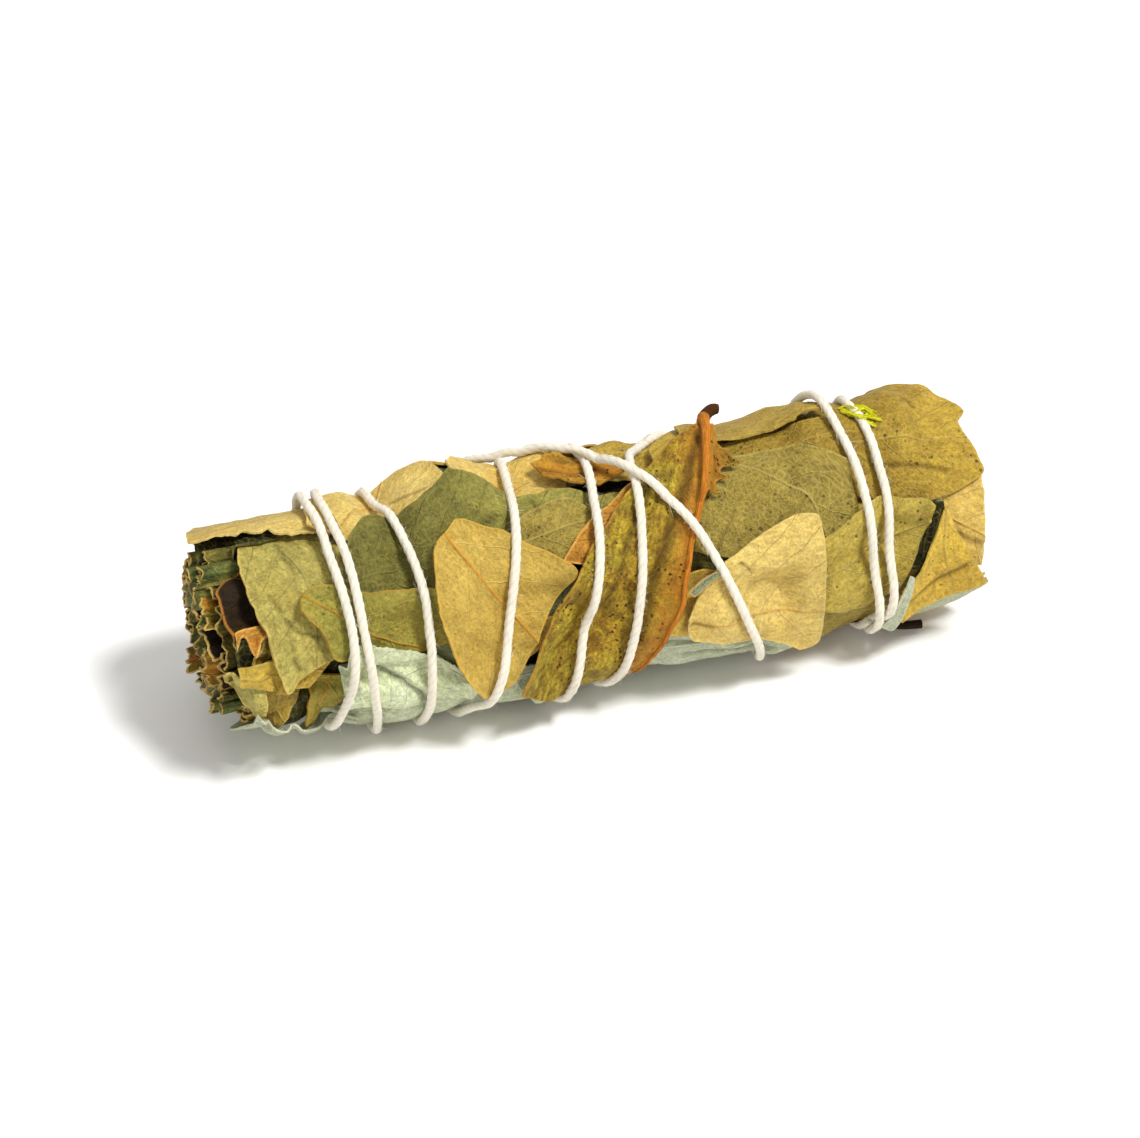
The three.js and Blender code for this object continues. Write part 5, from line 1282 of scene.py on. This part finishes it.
class HERB_OT_end_sheets(bpy.types.Operator):
    """Lays cut pieces of leaf round the cut end, the inner ones standing out furthest"""

    bl_idname = "herb.end_sheets"
    bl_label = "Cut end"

    def execute(self, context):
        blade, draw = millimetres(context, "blade"), np.random.default_rng(41)
        parts = {"cut_sage_leaf": [], "dark_brown_leaf": [], "tan_leaf": [], "brown_leaf": []}
        for number in range(36):
            shell, turn = divmod(number, 9)
            middle = turn * 40 + shell * 17 + draw.uniform(-12, 12)
            half = draw.uniform(14, 22) + 3 * shell
            low = -57.2 + 1.15 * shell + draw.uniform(-0.9, 0.9) + 2.4 * math.exp(-(((middle % 360 - 345) / 40) ** 2))
            green = math.exp(-(((middle % 360 - 95) / 42) ** 2)) + math.exp(-(((middle % 360 - 330) / 30) ** 2))
            share = 0.2 + 0.6 * min(1, green)
            finish = draw.choice(list(parts), p=[share, (1 - share) * 0.35, (1 - share) * 0.25, (1 - share) * 0.4])
            slant, high, away = draw.uniform(-5, 5), -47.5 + draw.uniform(-1, 1), abs((middle - 108 + 180) % 360 - 180)
            edges = [
                [(low + draw.uniform(-0.4, 0.6), middle - half), (high, middle - half * 0.8 + slant)],
                [(low + draw.uniform(-0.4, 0.6), middle + half), (high, middle + half * 0.8 + slant)],
            ]
            # A sheet's tone is partly random and partly painted shade: all are painted dark, as shade falls in among
            # the cut leaves, and the deeper shells are darker still. Sheets low at the front are made lighter.
            lift, tone, seed = draw.uniform(-0.3, 0.9), draw.uniform(0.25, 0.6) + 0.14 * shell, 600 + number
            tone *= 1 + 0.9 * math.exp(-((((middle + 8 + 180) % 360 - 180) / 34) ** 2))
            if shell > 1 and away < half + 34:
                continue
            parts[finish].append(
                leaf("sheet", edges, seed, 0.36, blade, 0.08, lift=(lift, 0, 0.2, 0.2), ragged=(0.55, 0.1, 0.3, 0.3),
                     ripple=0.45, stiff=0.6, crumple=0.08, tone=tone, cut=0.9)
            )
        for finish, pieces in parts.items():
            place_piece(join("cut_end_" + finish, pieces), finish, slot=finish.replace("cut_", ""))
        rolls = [
            rolled("roll", (-ring * math.cos(math.radians(a)), ring * math.sin(math.radians(a))), radius, 1.5, turn, (low, -47),
                   900 + k, fine=0.35, wrinkle=0.1, tone=1.15)
            for k, (a, ring, radius, turn, low) in enumerate(
                [(89, 11.5, 1.6, 0.1, -55.9), (100, 12.1, 1.7, 0.5, -54.8), (110, 11.8, 1.2, 0.2, -56.8), (97, 10.2, 1.4, 0.8, -57.3)]
            )
        ]
        place_piece(join("cut_end_rolls", rolls), "cut_sage_leaf", slot="sage_leaf")
        return {"FINISHED"}


class HERB_OT_back_leaves(bpy.types.Operator):
    """Wraps leaves round the back and the underside"""

    bl_idname = "herb.back_leaves"
    bl_label = "Back leaves"

    def execute(self, context):
        lay_listed(context, BACK_LEAVES, millimetres(context, "back_facet"), 2000)
        return {"FINISHED"}


class HERB_OT_front_leaves(bpy.types.Operator):
    """Wraps leaves round the front and top in the order that they overlap"""

    bl_idname = "herb.front_leaves"
    bl_label = "Front leaves"

    def execute(self, context):
        lay_listed(context, FRONT_LEAVES, millimetres(context, "facet"), 3000)
        return {"FINISHED"}


class HERB_OT_brown_leaf(bpy.types.Operator):
    """Lays the brown leaf on top, with its midrib, torn flap and stalk"""

    bl_idname = "herb.brown_leaf"
    bl_label = "Brown leaf"

    def execute(self, context):
        blade, gap, facet = (millimetres(context, k) for k in ("blade", "gap", "facet"))
        edges, settings = BROWN_BLADE
        parts = [leaf("blade", edges, 4001, facet, blade, gap, **settings)]
        edges, settings = TORN_FLAP
        parts.append(leaf("flap", edges, 4051, 0.35, blade, gap, **settings))
        for part in parts:
            part.data.materials.append(finish_named("brown_leaf"))
        route, _ = resample([(x, a * ROUND, h, r) for x, a, h, r in BROWN_MIDRIB], 130)
        x, a = route[:, 0], route[:, 1] / ROUND
        line = BUNDLE.point(x, a, BUNDLE.sample(BUNDLE.heights, x, a) + route[:, 2])
        stalk = tube("stalk", line, route[:, 3], 14, seed=3)
        stalk.data.materials.append(finish_named("leaf_stalk"))
        place_piece(join("brown_leaf_blade", [*parts, stalk]), None, "brown_leaf", slot="brown_leaf")

        line, run = resample([BUNDLE.point(np.array(x), np.array(a), BUNDLE.sample(BUNDLE.heights, np.array(x), np.array(a)) + h)
                              for x, a, h in LOWER_STALK], 30)
        stub = tube("lower_stalk", line, 0.45 + 0.2 * np.linspace(0, 1, 30), 12, seed=8)
        place_piece(stub, "dark_bark", slot="brown_leaf")
        return {"FINISHED"}


class HERB_OT_twine(bpy.types.Operator):
    """Winds the twisted cotton twine over the leaves, with loose fibres, its two ends meeting at the back"""

    bl_idname = "herb.twine"
    bl_label = "Twine"

    def execute(self, context):
        radius, pitch = millimetres(context, "twine_radius"), millimetres(context, "twine_pitch")
        line = twine_line(twine_plan(), radius)
        cord = tube("cord", line, radius, 18, seed=5, lobes=3, lobe_depth=0.08, pitch=pitch, rough=0.045)
        mesh = cord.data
        co = np.empty(len(mesh.vertices) * 3, np.float32)
        mesh.vertices.foreach_get("co", co)
        co = co.reshape(-1, 3)
        co[:, 2] = np.maximum(co[:, 2], 0.0)
        mesh.vertices.foreach_set("co", co.ravel())
        place_piece(cord, "twine", "twine")
        cord.name = "twine_cord"
        place_piece(fuzz("twine_fibres", line, radius, 7200), "twine")
        return {"FINISHED"}


class HERB_OT_knot(bpy.types.Operator):
    """Ties the twine's two ends in a small knot at the back, with frayed tails"""

    bl_idname = "herb.knot"
    bl_label = "Knot"

    def execute(self, context):
        radius, pitch = millimetres(context, "twine_radius") * 0.92, millimetres(context, "twine_pitch")
        x0, a0 = 37.2, 214.0
        turn = np.linspace(0, 2 * math.pi, 90)
        x = x0 + 0.62 * (np.sin(turn) + 2 * np.sin(2 * turn))
        a = a0 + 0.62 * (np.cos(turn) - 2 * np.cos(2 * turn)) / ROUND
        base = BUNDLE.sample(BUNDLE.heights, np.array(x0), np.array(a0)) + 2.1
        out = np.array([0, -math.cos(math.radians(a0)), math.sin(math.radians(a0))])
        loop = BUNDLE.point(x, a, base - 0.85 * np.sin(3 * turn))
        parts = [tube("loop", loop, radius, 16, seed=21, out=out, lobes=3, lobe_depth=0.08, pitch=pitch, rough=0.045)]
        draw = np.random.default_rng(17)
        for number, tail in enumerate(TWINE_TAILS):
            plan, run = resample([(px, pa * ROUND, h) for px, pa, h in tail], 40)
            top = BUNDLE.sample(BUNDLE.heights, plan[:, 0], plan[:, 1] / ROUND)
            line = BUNDLE.point(plan[:, 0], plan[:, 1] / ROUND, top + plan[:, 2])
            parts.append(
                tube("tail", line, np.linspace(radius, radius * 1.1, 40), 16, seed=25 + number, lobes=3, lobe_depth=0.1,
                     pitch=pitch, rough=0.06)
            )
            ahead = line[-1] - line[-3]
            ahead /= np.linalg.norm(ahead)
            for k in range(26):
                spread = draw.normal(0, 0.42, (2, 3))
                size, start = draw.uniform(1.2, 3.2), line[-2] + draw.normal(0, 0.22, 3)
                steps = np.linspace(0, 1, 7)[:, None]
                strand = start + size * (steps * (ahead + 0.6 * spread[0]) + steps**2 * spread[1])
                strand[:, 2] = np.maximum(strand[:, 2], 0.2)
                parts.append(tube("strand", strand, np.linspace(0.09, 0.04, 7), 5, seed=30 + k, out=np.array([0.1, 0.2, 1.0])))
        place_piece(join("twine_knot", parts), "twine")
        return {"FINISHED"}


class HERB_OT_scraps(bpy.types.Operator):
    """Adds the small bits of leaf and the yellow shreds that are caught in the twine"""

    bl_idname = "herb.scraps"
    bl_label = "Scraps"

    def execute(self, context):
        draw = np.random.default_rng(31)
        shreds = []
        for k in range(14):
            x0, x1 = 35.8 + draw.uniform(0, 1.6), 38.6 + draw.uniform(0, 1.8)
            a0, a1 = 98 - draw.uniform(0, 4), 84 + draw.uniform(0, 7)
            x, a = np.linspace(x0, x1, 14), np.linspace(a0, a1, 14) + 3 * np.sin(np.linspace(0, 3, 14) + k)
            base = np.maximum.reduce([BUNDLE.sample(BUNDLE.heights, x + d, a) for d in (-0.5, 0, 0.5)])
            line = BUNDLE.point(x, a, base + 0.2 + (0.9 if k % 2 else 0.2) * np.sin(np.linspace(0.2, 2.9, 14)) ** 2)
            shreds.append(tube("shred", line, draw.uniform(0.12, 0.24), 6, seed=60 + k))
        place_piece(join("yellow_shreds", shreds), "yellow_scrap", slot="pale_gold_leaf")
        bits = [
            ([[(35, -34), (36.8, -20), (38.2, -4), (39.4, 7)], [(37, -37), (38.6, -22), (39.5, -5), (40, 5.6)]], 0.1, 1.05),
            ([[(7.2, 21), (9, 24), (12, 26)], [(8, 18.6), (10.6, 21.6), (13.4, 24)]], 0.0, 0.7),
        ]
        for number, ((edges, lift, tone), finish) in enumerate(zip(bits, ("pale_sage_leaf", "sage_leaf"))):
            piece = leaf(
                f"sage_scrap_{number + 1}", edges, 5000 + 13 * number, 0.3, millimetres(context, "blade"), 0.1,
                lift=(lift, lift, lift, 0), ragged=(0.2, 0.2, 0.15, 0.15), tone=tone,
            )
            place_piece(piece, finish)
        return {"FINISHED"}


class HERB_OT_stage(bpy.types.Operator):
    """Sets the floor, the soft studio light and the camera"""

    bl_idname = "herb.stage"
    bl_label = "Stage"

    def execute(self, context):
        settings = context.scene.herb_stage
        bpy.ops.object.select_all(action="DESELECT")
        bpy.ops.mesh.primitive_plane_add(size=6)
        floor = context.object
        floor.name = "floor"
        floor.data.transform(Matrix.Translation((0, 0, -0.00002)))
        paint = bpy.data.materials.new("studio_floor")
        paint.use_nodes = True
        shader = paint.node_tree.nodes["Principled BSDF"]
        shader.inputs["Base Color"].default_value = tint(context.scene.herb_colours.floor, 1)
        shader.inputs["Roughness"].default_value = 0.9
        floor.data.materials.append(paint)

        world = bpy.data.worlds.new("studio")
        world.use_nodes = True
        world.node_tree.nodes["Background"].inputs["Color"].default_value = (1, 0.99, 0.97, 1)
        world.node_tree.nodes["Background"].inputs["Strength"].default_value = 0.48
        context.scene.world = world
        for name, place, size, power in (
            ("key", (0.42, -0.36, 1.06), 0.24, 12), ("fill", (-0.7, -0.8, 0.6), 0.9, 1.3), ("top", (0.1, 0.4, 1.2), 1.0, 2.2),
        ):
            light = bpy.data.lights.new(name, "AREA")
            light.energy, light.size = power, size
            lamp = bpy.data.objects.new(name, light)
            lamp.location = place
            lamp.rotation_euler = (-Vector(place)).to_track_quat("-Z", "Y").to_euler()
            context.scene.collection.objects.link(lamp)

        a, e = settings.azimuth, settings.elevation
        back = Vector((math.sin(a) * math.cos(e), -math.cos(a) * math.cos(e), math.sin(e)))
        right = Vector((math.cos(a), math.sin(a), 0))
        up = back.cross(right)
        camera = bpy.data.objects.new("camera", bpy.data.cameras.new("camera"))
        camera.data.lens = settings.lens
        camera.data.sensor_width = 36
        camera.data.clip_start, camera.data.clip_end = 0.01, 20
        centre = Vector(MIDDLE * MM)
        place = centre + back * settings.distance - right * settings.aside - up * settings.below
        turn = Matrix((right, up, back)).transposed().to_4x4()
        camera.matrix_world = Matrix.Translation(place) @ turn
        context.scene.collection.objects.link(camera)
        context.scene.camera = camera
        context.scene.view_settings.view_transform = "Standard"
        return {"FINISHED"}


OPERATORS = [
    HERB_OT_sprigs, HERB_OT_shreds, HERB_OT_inner_leaves, HERB_OT_end_sheets, HERB_OT_back_leaves, HERB_OT_front_leaves,
    HERB_OT_brown_leaf, HERB_OT_twine, HERB_OT_knot, HERB_OT_scraps, HERB_OT_stage,
]


class HERB_PT_panel(bpy.types.Panel):
    """Lists the bundle's settings and the steps that build it"""

    bl_idname = "HERB_PT_panel"
    bl_label = "Herb bundle"
    bl_space_type = "VIEW_3D"
    bl_region_type = "UI"
    bl_category = "Herb bundle"

    def draw(self, context):
        for group_of in (context.scene.herb_sizes, context.scene.herb_colours, context.scene.herb_stage):
            column = self.layout.column()
            for name in group_of.__annotations__:
                column.prop(group_of, name)
        for step in OPERATORS:
            self.layout.operator(step.bl_idname)


CLASSES = [BundleSizes, BundleColours, StageSettings, *OPERATORS, HERB_PT_panel]


def register():
    for kind in CLASSES:
        bpy.utils.register_class(kind)
    bpy.types.Scene.herb_sizes = bpy.props.PointerProperty(type=BundleSizes)
    bpy.types.Scene.herb_colours = bpy.props.PointerProperty(type=BundleColours)
    bpy.types.Scene.herb_stage = bpy.props.PointerProperty(type=StageSettings)


def unregister():
    del bpy.types.Scene.herb_sizes, bpy.types.Scene.herb_colours, bpy.types.Scene.herb_stage
    for kind in reversed(CLASSES):
        bpy.utils.unregister_class(kind)


def main():
    register()
    bpy.ops.herb.sprigs()
    bpy.ops.herb.shreds()
    bpy.ops.herb.inner_leaves()
    bpy.ops.herb.end_sheets()
    bpy.ops.herb.back_leaves()
    bpy.ops.herb.front_leaves()
    bpy.ops.herb.brown_leaf()
    bpy.ops.herb.twine()
    bpy.ops.herb.knot()
    bpy.ops.herb.scraps()
    bpy.ops.herb.stage()


if __name__ == "__main__":
    main()
